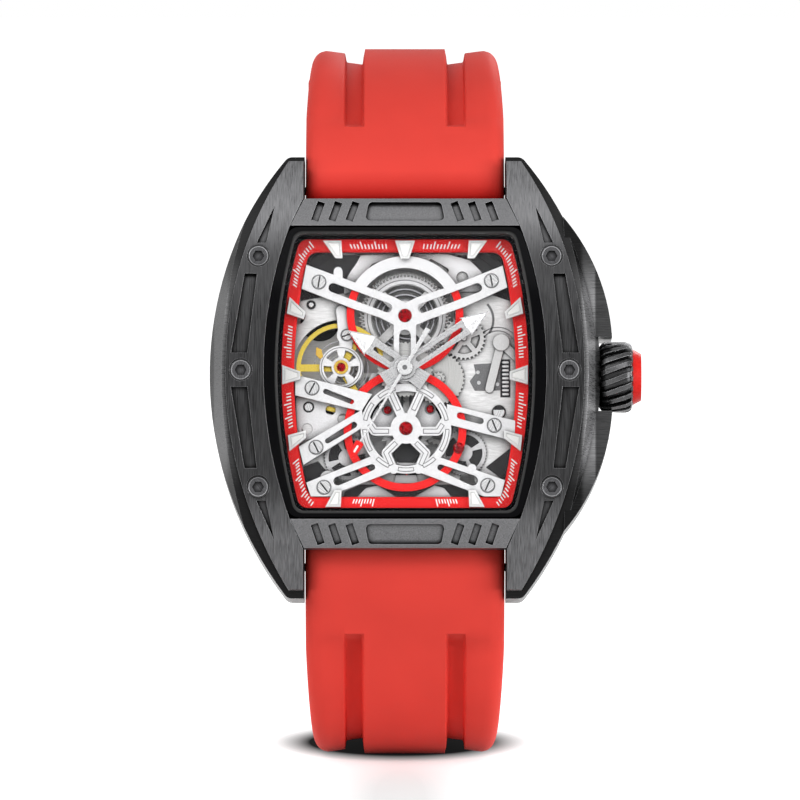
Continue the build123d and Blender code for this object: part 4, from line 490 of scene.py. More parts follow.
LOOKS = {
    case_black: "case_middle crown case_back",
    rail_steel: "bezel_rail_left bezel_rail_right",
    bar_steel: "bezel_end_top bezel_end_bottom",
    ring_black: "bezel_inner_ring",
    bolt_steel: "bezel_bolts case_back_screws crown_tube spring_bar_upper spring_bar_lower buckle_bar",
    sapphire: "crystal back_crystal",
    seal: "crystal_gasket",
    red_lacquer: "chapter_ring red_ring_upper red_ring_lower",
    cap_red: "crown_cap",
    marker_steel: "hour_markers",
    hand_steel: "hour_hand minute_hand seconds_hand",
    red_silicone: "strap_upper strap_lower keeper_sliding",
    bridge_steel: "upper_bridge lower_bridge balance_cock",
    wheel_steel: "ratchet_wheel crown_wheel click setting_lever sliding_pinion setting_wheel pallet_fork"
    " cannon_pinion barrel_cover barrel_arbor escape_wheel bridge_screws winding_stem",
    plate_grey: "main_plate train_bridge buckle_frame buckle_tongue",
    plate_dark: "movement_ring",
    brass: "barrel_drum centre_wheel third_wheel fourth_wheel minute_wheel hour_wheel",
    balance_gold: "balance_wheel",
    jewel: "bridge_jewels",
    spring_steel: "mainspring hairspring",
    rotor_steel: "rotor",
}

for look, names in LOOKS.items():
    for name in names.split():
        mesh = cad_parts[name].data
        mesh.materials.clear()
        mesh.materials.append(look)

# Pieces


def finished(mesh, name, material, body, sharp_angle=40):
    """Makes a mesh into a piece: smooth but for its sharp edges, with its finish, riding on a body."""
    mesh.materials.append(material)
    mesh.shade_smooth()
    mesh.set_sharp_from_angle(angle=math.radians(sharp_angle))
    piece = placed(name, mesh)
    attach(piece, body)
    return piece


def front(x, z, height):
    """A point of the dial side: millimetres across, up, and towards the viewer from the case back."""
    return Vector((x * MM, -height * MM, z * MM))


def join_rings(shape, rings):
    """Faces between closed rings of corners that follow each other."""
    for before, after in zip(rings, rings[1:]):
        for step in range(len(before)):
            following = (step + 1) % len(before)
            shape.faces.new((before[step], before[following], after[following], after[step]))


def close_ends(shape, rings):
    join_rings(shape, rings)
    shape.faces.new(rings[0])
    shape.faces.new(rings[-1])


def mesh_of(shape, name):
    """The mesh of a shape, with its faces turned outwards."""
    bmesh.ops.recalc_face_normals(shape, faces=shape.faces)
    mesh = bpy.data.meshes.new(name)
    shape.to_mesh(mesh)
    shape.free()
    return mesh


def add_prism(shape, outline, low, high, closed=True):
    """A prism between two heights, with its lower end where it is closed; returns its upper ring."""
    rings = [[shape.verts.new(front(x, z, height)) for x, z in outline] for height in (low, high)]
    for ring in rings if closed else rings[1:]:
        shape.faces.new(ring)
    join_rings(shape, rings)
    return rings[1]


def prisms(name, outlines, low, high, material, body="case", bevel=0.0):
    """Flat pieces with the given outlines, between two heights, with their front edges rounded when a bevel is
    given.
    """
    shape = bmesh.new()
    for outline in outlines:
        upper = add_prism(shape, outline, low, high, closed=False)
        if bevel:
            edges = {edge for vert in upper for edge in vert.link_edges if edge.other_vert(vert) in upper}
            size = {"offset": bevel * MM, "segments": 2, "clamp_overlap": True}
            bmesh.ops.bevel(shape, geom=list(edges), affect="EDGES", **size)
    return finished(mesh_of(shape, name), name, material, body, 20)


def cut(mesh, cutters, name):
    """The mesh with the cutters' space taken out."""
    body, tool = placed(name, mesh), placed("cutters", cutters)
    change = body.modifiers.new("cut", "BOOLEAN")
    change.operation, change.object, change.solver, change.use_self = "DIFFERENCE", tool, "EXACT", True
    bpy.context.view_layer.update()
    graph = bpy.context.evaluated_depsgraph_get()
    made = bpy.data.meshes.new_from_object(body.evaluated_get(graph))
    made.name = name
    bpy.data.objects.remove(body)
    bpy.data.objects.remove(tool)
    return made


def around(centre, radius, turn):
    x, z = centre
    return x + radius * math.cos(turn), z + radius * math.sin(turn)


def circle(centre, radius, count, start=0.0):
    """Points once round a centre, the first of them a share of a step on."""
    return [around(centre, radius, math.tau * (step + start) / count) for step in range(count)]


# Strap: sections with soft edges and two grooves, at stations along two arcs a side

CREST_Y, CREST_Z = 19.5, 39.9
THICKNESS = 3.6
BACK_RADIUS = 30.0
BAR_Y, BAR_Z, BAR_END = -4.6, 20.9, 3.1
STRAP_HALF, STRAP_CREST_HALF, STRAP_END_HALF = 10.98, 10.62, 9.0
TAPER_START_Y, TAPER_END_Y = 8.0, 48.0
BACK_CENTRE = Vector((CREST_Y, CREST_Z - THICKNESS / 2 - BACK_RADIUS))
GROOVE_INNER, GROOVE_OUTER, GROOVE_DEPTH = 4.72, 6.66, 1.75
# Angles, in degrees, where the grooves start and end, and how soon they are deep
GROOVE_START, GROOVE_START_RUN, GROOVE_END, GROOVE_END_RUN = -52, 1.6, 26, 2.2
EDGE_ROUND, BACK_EDGE_ROUND = 1.5, 0.6
LOBE_FALL, LOBE_LEAN = 0.75, 0.55
FRONT_STEPS, BACK_STEP = 34, 2.2
BAR_TURNS = (88, 75, 60, 45, 30, 15)
TIP_TURNS = (20, 40, 58, 72, 84)
ACROSS = [0, 1.5, 3, 4, 4.5, 4.68, 4.76, 4.82, 4.9, 5.0, 5.15, 5.75, 6.35, 6.5, 6.6, 6.68, 6.74, 6.82]
EDGE = [1.9, 1.4, 0.9, 0.66, 0.46, 0.3, 0.17, 0.07, 0.01, 0]
LOWER_END, UPPER_END = 108, 62
TAIL_SLOTS, TAIL_SLOT_START, TAIL_SLOT_STEP, TAIL_SLOT_SIZE = 5, 50, 6.4, (2.6, 1.5)
TONGUE_SLOT_SIZE = (2.8, 2.8)
FIXED_KEEPER, SLIDING_KEEPER, WIDEST = (math.radians(turn) for turn in (50, 34, 20))
KEEPER_LENGTH = 4.2
# Rows of a keeper along the strap, and how far each draws in the edges
KEEPER_ROWS = ((-1, 0.25), (-0.9, 0.08), (-0.75, 0), (0.75, 0), (0.9, 0.08), (1, 0.25))
KEEPER_ROUND, KEEPER_INNER_ROUND, KEEPER_ROUND_STEPS = 1.0, 0.45, 5


def clamped(value):
    return min(max(value, 0), 1)


def arc_point(centre, radius, angle):
    return centre + radius * Vector((math.sin(angle), math.cos(angle)))


def back_point(reach, angle):
    """A point of the back arc, at a distance outwards from the middle of the strap's thickness."""
    return arc_point(BACK_CENTRE, BACK_RADIUS + reach, angle)


def front_arc(crest_z, bar_offset):
    """Centre, radius and end angle of the face in front of the crest, as in the solid."""
    depth, rise = CREST_Y - BAR_Y, crest_z - BAR_Z
    radius = (depth**2 + rise**2 - bar_offset**2) / (2 * (rise - bar_offset))
    return Vector((CREST_Y, crest_z - radius)), radius, math.atan2(-depth, BAR_Z - crest_z + radius)


def stations(end_angle):
    """Outer point, inner point and groove share of each section, from the spring bar to the tip."""
    *outer, outer_angle = front_arc(CREST_Z, BAR_END)
    *inner, inner_angle = front_arc(CREST_Z - THICKNESS, -BAR_END)
    bar, half = Vector((BAR_Y, BAR_Z)), THICKNESS / 2
    across = (arc_point(*outer, outer_angle) - arc_point(*inner, inner_angle)).normalized()
    down = Vector((across.y, -across.x))
    if down.y > 0:
        down = -down
    rows = []
    for turn in BAR_TURNS:
        place = bar + down * BAR_END * math.sin(math.radians(turn))
        side = across * BAR_END * math.cos(math.radians(turn))
        rows.append((place + side, place - side, 0.0))
    for step in range(FRONT_STEPS):
        share = 1 - step / FRONT_STEPS
        angle = outer_angle * share
        groove = clamped((math.degrees(angle) - GROOVE_START) / GROOVE_START_RUN)
        rows.append((arc_point(*outer, angle), arc_point(*inner, inner_angle * share), groove))
    back_steps = max(int(end_angle / BACK_STEP), 1)
    for step in range(back_steps + 1):
        turn = end_angle * step / back_steps
        groove = clamped((GROOVE_END - turn) / GROOVE_END_RUN)
        angle = math.radians(turn)
        rows.append((back_point(half, angle), back_point(-half, angle), groove))
    for turn in map(math.radians, TIP_TURNS):
        angle = math.radians(end_angle) + half * math.sin(turn) / BACK_RADIUS
        reach = half * math.cos(turn)
        rows.append((back_point(reach, angle), back_point(-reach, angle), 0.0))
    return rows


def half_width(y):
    if y < TAPER_START_Y:
        return STRAP_HALF + clamped(y / TAPER_START_Y) * (STRAP_CREST_HALF - STRAP_HALF)
    share = clamped((y - TAPER_START_Y) / (TAPER_END_Y - TAPER_START_Y))
    return STRAP_CREST_HALF + share * (STRAP_END_HALF - STRAP_CREST_HALF)


def smooth_step(low, high, value):
    share = clamped((value - low) / (high - low))
    return share * share * (3 - 2 * share)


def section(half, thickness, groove):
    """A section from its middle to its edge: places across, with falls from the outer and inner face."""
    rounding = min(EDGE_ROUND, thickness / 2.2)
    rows = []
    for place in ACROSS + [half - gap for gap in EDGE]:
        over = max(place - (half - rounding), 0)
        corner = rounding - math.sqrt(max(rounding**2 - over**2, 0))
        lean = LOBE_LEAN * clamped((place - GROOVE_INNER) / (half - rounding - GROOVE_INNER))
        floor, lobe = GROOVE_DEPTH - lean, LOBE_FALL - lean
        past_inner = smooth_step(GROOVE_INNER - 0.18, GROOVE_INNER + 0.1, place)
        past_outer = smooth_step(GROOVE_OUTER - 0.12, GROOVE_OUTER + 0.12, place)
        fall = groove * past_inner * (floor + (lobe - floor) * past_outer)
        rows.append((place, corner + fall, min(corner, BACK_EDGE_ROUND)))
    return rows


def strap_corner(shape, x, point, side=1):
    """A corner across the strap at a point of its side view, on the upper side or, with -1, the lower."""
    return shape.verts.new((x * MM, point.x * MM, side * point.y * MM))


def strap_mesh(name, side, end_angle):
    shape = bmesh.new()
    rings = []
    for outer, inner, groove in stations(end_angle):
        thickness = (outer - inner).length
        inward = (inner - outer).normalized()
        rows = section(half_width((outer.x + inner.x) / 2), thickness, groove)
        top = [(x, fall) for x, fall, _ in rows]
        bottom = [(x, fall) for x, _, fall in rows]
        ring = []
        for points, start, way in (
            ([(-x, fall) for x, fall in reversed(top[1:])] + top, outer, inward),
            (bottom[::-1] + [(-x, fall) for x, fall in bottom[1:]], inner, -inward),
        ):
            for x, fall in points:
                ring.append(strap_corner(shape, x, start + way * min(fall, thickness * 0.49), side))
        rings.append(ring)
    close_ends(shape, rings)
    return mesh_of(shape, name)


def slot_cutters(places, side, length, width):
    """Round-ended slots across the strap at angles round its back arc, as a mesh."""
    shape = bmesh.new()
    for angle in places:
        way = Vector((math.cos(angle), -math.sin(angle)))
        layers = []
        for reach in (-THICKNESS, THICKNESS):
            ring = []
            for x, run in circle((0, 0), width / 2, 24):
                x += math.copysign(max(length - width, 0) / 2, x)
                ring.append(strap_corner(shape, x, back_point(reach, angle) + way * run, side))
            layers.append(ring)
        close_ends(shape, layers)
    return mesh_of(shape, "slots")


def keeper_outline(half, low, high, rounding):
    """A rectangle with round corners, across the strap and outwards from the back arc's centre."""
    points = []
    for x, z, start in (
        (rounding - half, low + rounding, 180),
        (half - rounding, low + rounding, 270),
        (half - rounding, high - rounding, 0),
        (rounding - half, high - rounding, 90),
    ):
        for step in range(KEEPER_ROUND_STEPS + 1):
            turn = math.radians(start + 90 * step / KEEPER_ROUND_STEPS)
            points.append(around((x, z), rounding, turn))
    return points


def keeper_mesh(name, angle, low, high, half, wall):
    """A keeper: a rounded box of four walls round the strap, at an angle round its back arc."""
    out, way = Vector((math.sin(angle), math.cos(angle))), Vector((math.cos(angle), -math.sin(angle)))
    shape = bmesh.new()
    outer, inner = [], []
    for share, pinch in KEEPER_ROWS:
        middle = BACK_CENTRE + way * (share * KEEPER_LENGTH / 2)
        for rows, sizes in (
            (outer, (half + wall - pinch, low + pinch, high - pinch, KEEPER_ROUND)),
            (inner, (half + pinch, low + wall - pinch, high - wall + pinch, KEEPER_INNER_ROUND)),
        ):
            rows.append([strap_corner(shape, x, middle + out * reach) for x, reach in keeper_outline(*sizes)])
    join_rings(shape, [*outer, *reversed(inner), outer[0]])
    return mesh_of(shape, name)


def rubber(mesh, name, body):
    return finished(mesh, name, red_silicone, body)


def make_strap():
    first, between = math.radians(TAIL_SLOT_START), TAIL_SLOT_STEP / BACK_RADIUS
    lower = slot_cutters([first + step * between for step in range(TAIL_SLOTS)], -1, *TAIL_SLOT_SIZE)
    lower = cut(strap_mesh("lower", -1, LOWER_END), lower, "silicone_strap_lower")
    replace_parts(rubber(lower, "silicone_strap_lower", "strap_lower"), "strap_lower")
    upper = slot_cutters([math.radians(UPPER_END)], 1, *TONGUE_SLOT_SIZE)
    upper = cut(strap_mesh("upper", 1, UPPER_END), upper, "silicone_strap_upper")
    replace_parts(rubber(upper, "silicone_strap_upper", "strap_upper"), "strap_upper")
    low, high = BACK_RADIUS - THICKNESS / 2, BACK_RADIUS + THICKNESS / 2
    half = half_width(back_point(0, FIXED_KEEPER).x) - 0.2
    fixed = keeper_mesh("keeper_fixed", FIXED_KEEPER, high - 1.1, high + 5.0, half, 1.3)
    rubber(fixed, "silicone_keeper_fixed", "strap_upper")
    half = half_width(back_point(0, WIDEST).x) + 0.3
    sliding = keeper_mesh("keeper_sliding", SLIDING_KEEPER, low - 1.4, high + 5.3, half, 1.1)
    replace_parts(rubber(sliding, "silicone_keeper_sliding", "keeper"), "keeper_sliding")


make_strap()

# Dial: lume in the markers, and minute marks printed on the chapter ring

CHAPTER_HEIGHT = 9.6
MARKER_HEIGHT = 10.3
SIDE_MARKERS = (
    ((-9.03, 14.72), (-7.02, 14.72), (-6.88, 12.79), (-7.66, 12.79)),
    ((-12.7, 8.47), (-13.0, 6.66), (-11.14, 6.02), (-10.96, 6.82)),
    ((-13.5, 0.94), (-13.5, -1.17), (-11.52, -0.62), (-11.52, 0.22)),
    ((-12.87, -6.82), (-12.69, -8.55), (-10.89, -7.1), (-10.89, -6.27)),
    ((-8.75, -14.72), (-7.06, -14.72), (-6.96, -12.87), (-7.75, -12.87)),
)
TOP_MARKER = ((-1.09, 14.72), (1.09, 14.72), (0.45, 12.73), (-0.45, 12.73))
LONG_MARKS, CORNER_LONG_MARKS = (3, 7), (0, 5, 10)
# Ends and middle of the rows of minute marks on the left, as x and z, with their number and the long ones
MINUTE_ROWS = (
    ((-6.0, 14.3), (-4.1, 14.25), (-2.1, 14.3), 11, LONG_MARKS),
    ((-10.3, 14.35), (-11.75, 13.4), (-12.25, 9.9), 15, CORNER_LONG_MARKS),
    ((-12.75, 5.3), (-12.9, 3.6), (-12.95, 1.9), 11, LONG_MARKS),
    ((-12.95, -2.2), (-12.9, -4.0), (-12.7, -5.9), 11, LONG_MARKS),
    ((-12.0, -9.65), (-11.7, -13.0), (-10.3, -14.45), 15, CORNER_LONG_MARKS),
    ((-5.7, -14.2), (-4.6, -14.2), (-3.5, -14.2), 8, LONG_MARKS),
)
MARK_HALF, MARK_INWARD, MARK_OUTWARD, LONG_MARK_OUTWARD = 0.07, 0.42, 0.1, 0.42
CURVE_STEPS = 100
HUB = Vector((0, 0.6))


def aside(way):
    """A quarter turn to the left."""
    return Vector((-way.y, way.x))


def inset(outline, gap):
    """A convex outline drawn in by a gap."""
    points = [Vector(point) for point in outline]
    middle = sum(points, Vector((0, 0))) / len(points)
    made = []
    for step, here in enumerate(points):
        sides = []
        for start, end in ((points[step - 1], here), (here, points[(step + 1) % len(points)])):
            way = (end - start).normalized()
            normal = aside(way)
            if normal.dot(middle - start) < 0:
                normal = -normal
            sides.append((start + normal * gap, way))
        (first, first_way), (second, second_way) = sides
        offset = second - first
        reach = offset.dot(-aside(second_way)) / first_way.dot(-aside(second_way))
        made.append(tuple(first + first_way * reach))
    return made


def minute_marks():
    marks = []
    for *row, count, long_marks in MINUTE_ROWS:
        start, middle, end = [Vector(point) for point in row]
        shares = [step / CURVE_STEPS for step in range(CURVE_STEPS + 1)]
        curve = [start * (1 - s) ** 2 + middle * 2 * s * (1 - s) + end * s**2 for s in shares]
        runs = [0.0]
        for before, after in zip(curve, curve[1:]):
            runs.append(runs[-1] + (after - before).length)
        for step in range(count):
            reach = runs[-1] * step / (count - 1)
            place = curve[min(range(CURVE_STEPS + 1), key=lambda index: abs(runs[index] - reach))]
            inward = (HUB - place).normalized()
            half = aside(inward) * MARK_HALF
            outer = place - inward * (LONG_MARK_OUTWARD if step in long_marks else MARK_OUTWARD)
            inner = place + inward * MARK_INWARD
            marks.append([tuple(point) for point in (outer + half, outer - half, inner - half, inner + half)])
            marks.append([(-x, z) for x, z in marks[-1]])
    return marks


def make_dial():
    markers = [[(side * x, z) for x, z in marker] for marker in SIDE_MARKERS for side in (1, -1)]
    lumes = [inset(marker, 0.3) for marker in (TOP_MARKER, *markers)]
    low, high = MARKER_HEIGHT - 0.2, MARKER_HEIGHT - 0.03
    prisms("marker_lume", lumes, low, high, lume_white, "case", 0.05)
    low, high = CHAPTER_HEIGHT, CHAPTER_HEIGHT + 0.03
    prisms("minute_marks", minute_marks(), low, high, print_white, "case")


make_dial()

# Movement: plates and bridges drawn at their places in the picture, 0.11 mm for one pixel

PIXEL = 0.11
DIAL_X, DIAL_Z = 405, 374
BRIDGE_LOW, BRIDGE_HIGH = 9.2, 9.6
PLATE_TOP = 8.3
# Under the setting lever, which swings over the small parts by the stem
LEVER_UNDER = 8.36


def seen(x, y):
    """The place on the dial, in millimetres across and up, of a pixel of the picture."""
    return (x - DIAL_X) * PIXEL, (DIAL_Z - y) * PIXEL


def line_of(points):
    return [seen(*point) for point in points]


def disc_line(centre, radius, count=48):
    return circle(centre, radius, count)


def spot(x, y, radius, count=24):
    """A disc given in pixels."""
    return disc_line(seen(x, y), radius * PIXEL, count)


def bar_line(start, end, width, end_width=None, round_steps=8):
    """A bar with round ends between two points."""
    start, end = Vector(start), Vector(end)
    way = (end - start).normalized()
    turn = math.atan2(way.y, way.x)
    points = []
    for centre, half, first in ((end, (end_width or width) / 2, -90), (start, width / 2, 90)):
        for step in range(round_steps + 1):
            angle = turn + math.radians(first + 180 * step / round_steps)
            points.append(tuple(centre + half * Vector((math.cos(angle), math.sin(angle)))))
    return points


def seen_bar(start, end, width, end_width=None, round_steps=8):
    """A bar given in pixels."""
    return bar_line(seen(*start), seen(*end), width * PIXEL, (end_width or width) * PIXEL, round_steps)


def band_line(centre, inner, outer, start, end, count=24):
    """A stretch of a ring, between two angles in degrees."""
    turns = [math.radians(start + (end - start) * step / count) for step in range(count + 1)]
    return [around(centre, outer, turn) for turn in turns] + [around(centre, inner, turn) for turn in turns[::-1]]


def ring_lines(centre, inner, outer, count):
    """A whole ring, as three stretches that overlap a little."""
    return [band_line(centre, inner, outer, start, start + 122, count) for start in (0, 120, 240)]


def gear_line(centre, root, tip, teeth):
    tooth_line = ((0, root), (0.3, root), (0.45, tip), (0.65, tip), (0.8, root))
    steps = [(tooth + share, radius) for tooth in range(teeth) for share, radius in tooth_line]
    return [around(centre, radius, math.tau * step / teeth) for step, radius in steps]


def inset_any(outline, gap):
    """Any outline drawn in by a gap, each corner moved along the mean of its sides' normals."""
    points = [Vector(point) for point in outline]
    after = points[1:] + points[:1]
    inside = math.copysign(1, sum(a.x * b.y - b.x * a.y for a, b in zip(points, after)))
    made = []
    for step, here in enumerate(points):
        normal = aside((here - points[step - 1]).normalized()) + aside((after[step] - here).normalized())
        length = normal.length
        if length >= 0.2:
            here = here + inside * normal / length * gap * min(2 / length, 2)
        made.append(tuple(here))
    return made


def elbow_line(root, elbow, end, width):
    """A strip along two runs that meet at an elbow."""
    first, second = aside((elbow - root).normalized()), aside((end - elbow).normalized())
    middle = (first + second).normalized()
    middle = middle / max(middle.dot(first), 0.3)
    half = width / 2
    left = [root + first * half, elbow + middle * half, end + second * half]
    right = [end - second * half, elbow - middle * half, root - first * half]
    return [tuple(point) for point in left + right]


def plate(name, outlines, low, high, material, holes=(), body="case"):
    """A flat piece: outlines joined, holes cut through, between two heights."""
    shapes = []
    for drawn, start, end in ((outlines, low, high), (holes, low - 0.05, high + 0.05)):
        shape = bmesh.new()
        for outline in drawn:
            add_prism(shape, outline, start, end)
        shapes.append(mesh_of(shape, name))
    mesh = cut(*shapes, name) if holes else shapes[0]
    mesh.name = name
    return finished(mesh, name, material, body, 30)


def thin_lines(name, outlines, low, thick=0.02, material=None, body="case"):
    """Thin lines on a surface at a height."""
    return prisms(name, outlines, low, low + thick, material or line_grey, body)


def strips(name, outlines, height, gap=0.07):
    """Raised strips with a dark line round them, on a surface at a height."""
    thin_lines(name + "_line", outlines, height, 0.015)
    prisms(name, [inset_any(outline, gap) for outline in outlines], height, height + 0.05, bridge_steel)


def screws(name, places, radius, low, high):
    """Slotted screw heads, each with its slot at an angle, in a dark ring."""
    slots = []
    for place, turn in places:
        way = Vector((math.cos(math.radians(turn)), math.sin(math.radians(turn)))) * radius * 0.8
        middle = Vector(seen(*place))
        slots.append(bar_line(tuple(middle - way), tuple(middle + way), 0.16, round_steps=3))
    heads, wells = (
        [disc_line(seen(*place), size, 28) for place, _ in places] for size in (radius, radius + 0.11)
    )
    thin_lines(name + "_wells", wells, low)
    plain = prisms(name, heads, low, high, screw_steel, bevel=0.07)
    # The slots are painted shade: black lines on the heads.
    thin_lines(name + "_slots", slots, high, 0.008, painted_shade_black)
    return plain


# Rings of a cut ruby: share of the radius, share of the height, number of corners, and turn
RUBY_RINGS = ((0.45, 1.0, 8, 0.0), (0.8, 0.72, 8, 0.5), (1.0, 0.25, 16, 0.0), (1.0, 0.0, 16, 0.0))


def ruby(name, centre, radius, low, high):
    """A cut ruby: a table, a ring of crown facets and a girdle."""
    shape = bmesh.new()
    middle = shape.verts.new(front(*centre, high))
    rings = []
    for share, lift, count, turn in RUBY_RINGS:
        height = low + (high - low) * lift
        points = circle(centre, radius * share, count, turn)
        rings.append([shape.verts.new(front(x, z, height)) for x, z in points])
    table, crown, girdle, base = rings
    for step in range(8):
        after = (step + 1) % 8
        first, second, third = girdle[2 * step], girdle[2 * step + 1], girdle[(2 * step + 2) % 16]
        for facet in (
            (middle, table[step], table[after]),
            (table[step], crown[step], table[after]),
            (table[step], crown[step - 1], crown[step]),
            (crown[step], first, second),
            (crown[step], second, third),
            (crown[step - 1], crown[step], first),
        ):
            shape.faces.new(facet)
    join_rings(shape, (girdle, base))
    shape.faces.new(base)
    return finished(mesh_of(shape, name), name, ruby_red, "case", 5)


HUB_AT = seen(404.8, 368.4)
BARREL_AT = (0.0, 6.49)
ESCAPE_AT = (0.1, -6.0)

UPPER_LEFT = (
    (405.9, 302.6), (394.3, 296.4), (306.2, 263.8), (301.6, 288.0), (353, 308), (380, 317), (395, 325),
    (406, 330),
)
UPPER_RIGHT = (
    (405, 302.6), (416.6, 296.8), (453, 284.6), (502.8, 264.7), (507.4, 286.6), (463.9, 306.4), (430, 318.5),
    (415, 325), (404, 330),
)


def make_upper_bridge():
    outlines = [
        line_of(UPPER_LEFT),
        line_of(UPPER_RIGHT),
        band_line(BARREL_AT, 48 * PIXEL, 59.8 * PIXEL, 12, 168, 60),
        bar_line(BARREL_AT, HUB_AT, 22.4 * PIXEL),
        disc_line(HUB_AT, 1.62),
        spot(338, 270.5, 4.4, 20),
        line_of(((333.5, 277), (333.5, 270.5), (342.5, 270.5), (342.5, 280))),
    ]
    holes = [
        seen_bar((333, 286.9), (387.5, 307.2), 9.4),
        seen_bar((422.5, 307.6), (477.5, 287), 9.4),
        seen_bar((405, 335), (405, 352.5), 11.6),
        disc_line(HUB_AT, 1.3),
    ]
    made = plate("bridge_upper", outlines, BRIDGE_LOW, BRIDGE_HIGH, bridge_steel, holes=holes)
    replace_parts(made, "upper_bridge")


RING_OUTER, RING_INNER, WHEEL_HUB = 45.3 * PIXEL, 37.6 * PIXEL, 15.3 * PIXEL
# Spokes of the lower bridge: root, elbow and end as pixels
SPOKES = (
    ((393, 431.4), (374.3, 431.4), (366.5, 420.2)),
    ((419, 431.4), (438.0, 431.4), (445.5, 420.2)),
    ((400.5, 414), (392.8, 397), (389.0, 388.5)),
    ((411.5, 414), (419.2, 397), (423.0, 388.5)),
    ((399, 440), (386.0, 453.0), (393.5, 470.0)),
    ((413, 440), (426.0, 453.0), (418.5, 470.0)),
)
SPOKE_WIDTH, SPOKE_STRIP, ROOT_SHORTER, END_SHORTER = 8.8, 0.52, 0.45, 0.55
ARMS = (
    ((295.4, 374.6), (372, 394.1), (361.5, 411.2), (295.2, 395.2)),
    ((298.9, 446.8), (362, 409.8), (363.5, 427.0), (303.4, 465.2)),
    ((306.3, 483.0), (372, 456.2), (394, 471.2), (341, 491.6), (333, 496.8), (310.8, 496.8)),
    ((447, 404.1), (515.2, 420.8), (514.6, 441.2), (447, 424.2)),
    ((438, 456.8), (505.0, 480.6), (500.8, 496.8), (484, 496.8), (417, 471.8)),
)
ARM_SLOTS = (
    ((325.6, 391.4), (351.5, 401.6), 5.2, 5.2),
    ((327.5, 441.0), (354.0, 425.0), 5.2, 6.4),
    ((338.0, 481.4), (372.0, 467.6), 9.0, 6.4),
    ((460.0, 415.6), (480.5, 421.0), 6.6, 6.6),
    ((440.5, 467.8), (472.6, 480.8), 6.4, 10.5),
)
# Strips on the bridge's ring: middle and half of the angle
RING_STRIPS = (
    (24, 13), (62, 13), (118, 13), (156, 13), (197, 16), (236, 10), (270, 11), (304, 10), (343, 16),
)
# Screws: place and the angle of the slot
SCREWS = (
    ((318.8, 281.3), 80),
    ((491.5, 280), 100),
    ((312, 388), 62),
    ((316, 447.5), 116),
    ((324, 487.7), 128),
    ((494.3, 425.5), 112),
    ((487.6, 485.8), 66),
)


def make_lower_bridge():
    outlines = ring_lines(ESCAPE_AT, RING_INNER, RING_OUTER, 40)
    raised = []
    for root, elbow, end in SPOKES:
        outlines += [seen_bar(*run, SPOKE_WIDTH, round_steps=4) for run in ((root, elbow), (elbow, end))]
        root, elbow, end = (Vector(seen(*point)) for point in (root, elbow, end))
        root = root + (elbow - root).normalized() * ROOT_SHORTER
        end = end + (elbow - end).normalized() * END_SHORTER
        raised.append(elbow_line(root, elbow, end, SPOKE_STRIP))
    outlines += [disc_line(ESCAPE_AT, WHEEL_HUB), *map(line_of, ARMS), spot(472, 468.4, 4.2, 20)]
    holes = [seen_bar(*slot) for slot in ARM_SLOTS]
    made = plate("bridge_lower", outlines, BRIDGE_LOW, BRIDGE_HIGH, bridge_steel, holes=holes)
    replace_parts(made, "lower_bridge")
    inner, outer = RING_INNER + 0.2, RING_OUTER - 0.2
    raised += [
        band_line(ESCAPE_AT, inner, outer, middle - half, middle + half, 12) for middle, half in RING_STRIPS
    ]
    strips("bridge_strips", raised, BRIDGE_HIGH)
    made = screws("screws", SCREWS, 0.72, BRIDGE_HIGH, BRIDGE_HIGH + 0.16)
    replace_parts(made, "bridge_screws")


# Painted shade: dark sheets over the corners of the main plate
SHADES = (
    ((302.5, 253), (361, 253), (357, 262), (350, 270), (344, 281), (344, 291), (300.5, 299), (300.5, 283)),
    ((447, 253), (506, 253), (510, 299), (486, 291), (482, 271), (470, 259)),
    ((303.5, 466), (318, 460.5), (330.5, 474.8), (306.4, 484.4)),
    ((486, 466.5), (511.5, 446.5), (505.5, 480.5)),
    ((345, 491), (360, 484), (455, 484), (472, 491), (474, 497), (343, 497)),
)
PADS = (
    ((357, 497), (366, 487.5), (378, 484.8), (393, 494.5), (396, 497)),
    ((452, 497), (444, 487.5), (434, 484.8), (418, 494.5), (414, 497)),
    ((396, 474.5), (416, 474.5), (418, 482.5), (394, 482.5)),
)
CRESCENT = (
    (344, 282), (350, 270.5), (356, 262), (361, 253), (404, 252), (447, 252), (470, 258.5), (482, 270.5),
    (485, 290), (452, 290), (440, 264), (404, 252.5), (372, 262), (352, 290), (344, 292),
)
BALANCE_COVER = (
    (322, 383), (331, 391), (343, 394.5), (355, 392), (366, 384), (372, 372), (382, 372), (388, 392),
    (378, 402), (362, 412), (352, 425), (304, 440), (297, 428), (295.5, 398), (300, 392), (308, 398),
)
COVER_HOLES = ((330.5, 409, 5.2), (343, 418, 5.6), (307, 428, 5.6))
PLATE_WELLS = ((308.5, 406, 5.6), (311, 303, 4.5), (499, 411, 7.0))
PLATE_PINS = ((308.5, 406, 4.0), (311, 303, 2.4))
STEM_WINDOW = ((474, 363), (500, 361.5), (501, 389), (475, 389.5), (470, 380), (476, 372))
STEM_TEETH = ((478, 371), (479, 381.5), (496.5, 371), (497.5, 383))
CLUTCH_WELL = ((500.6, 358), (510.4, 358), (510.4, 396), (500.6, 396))


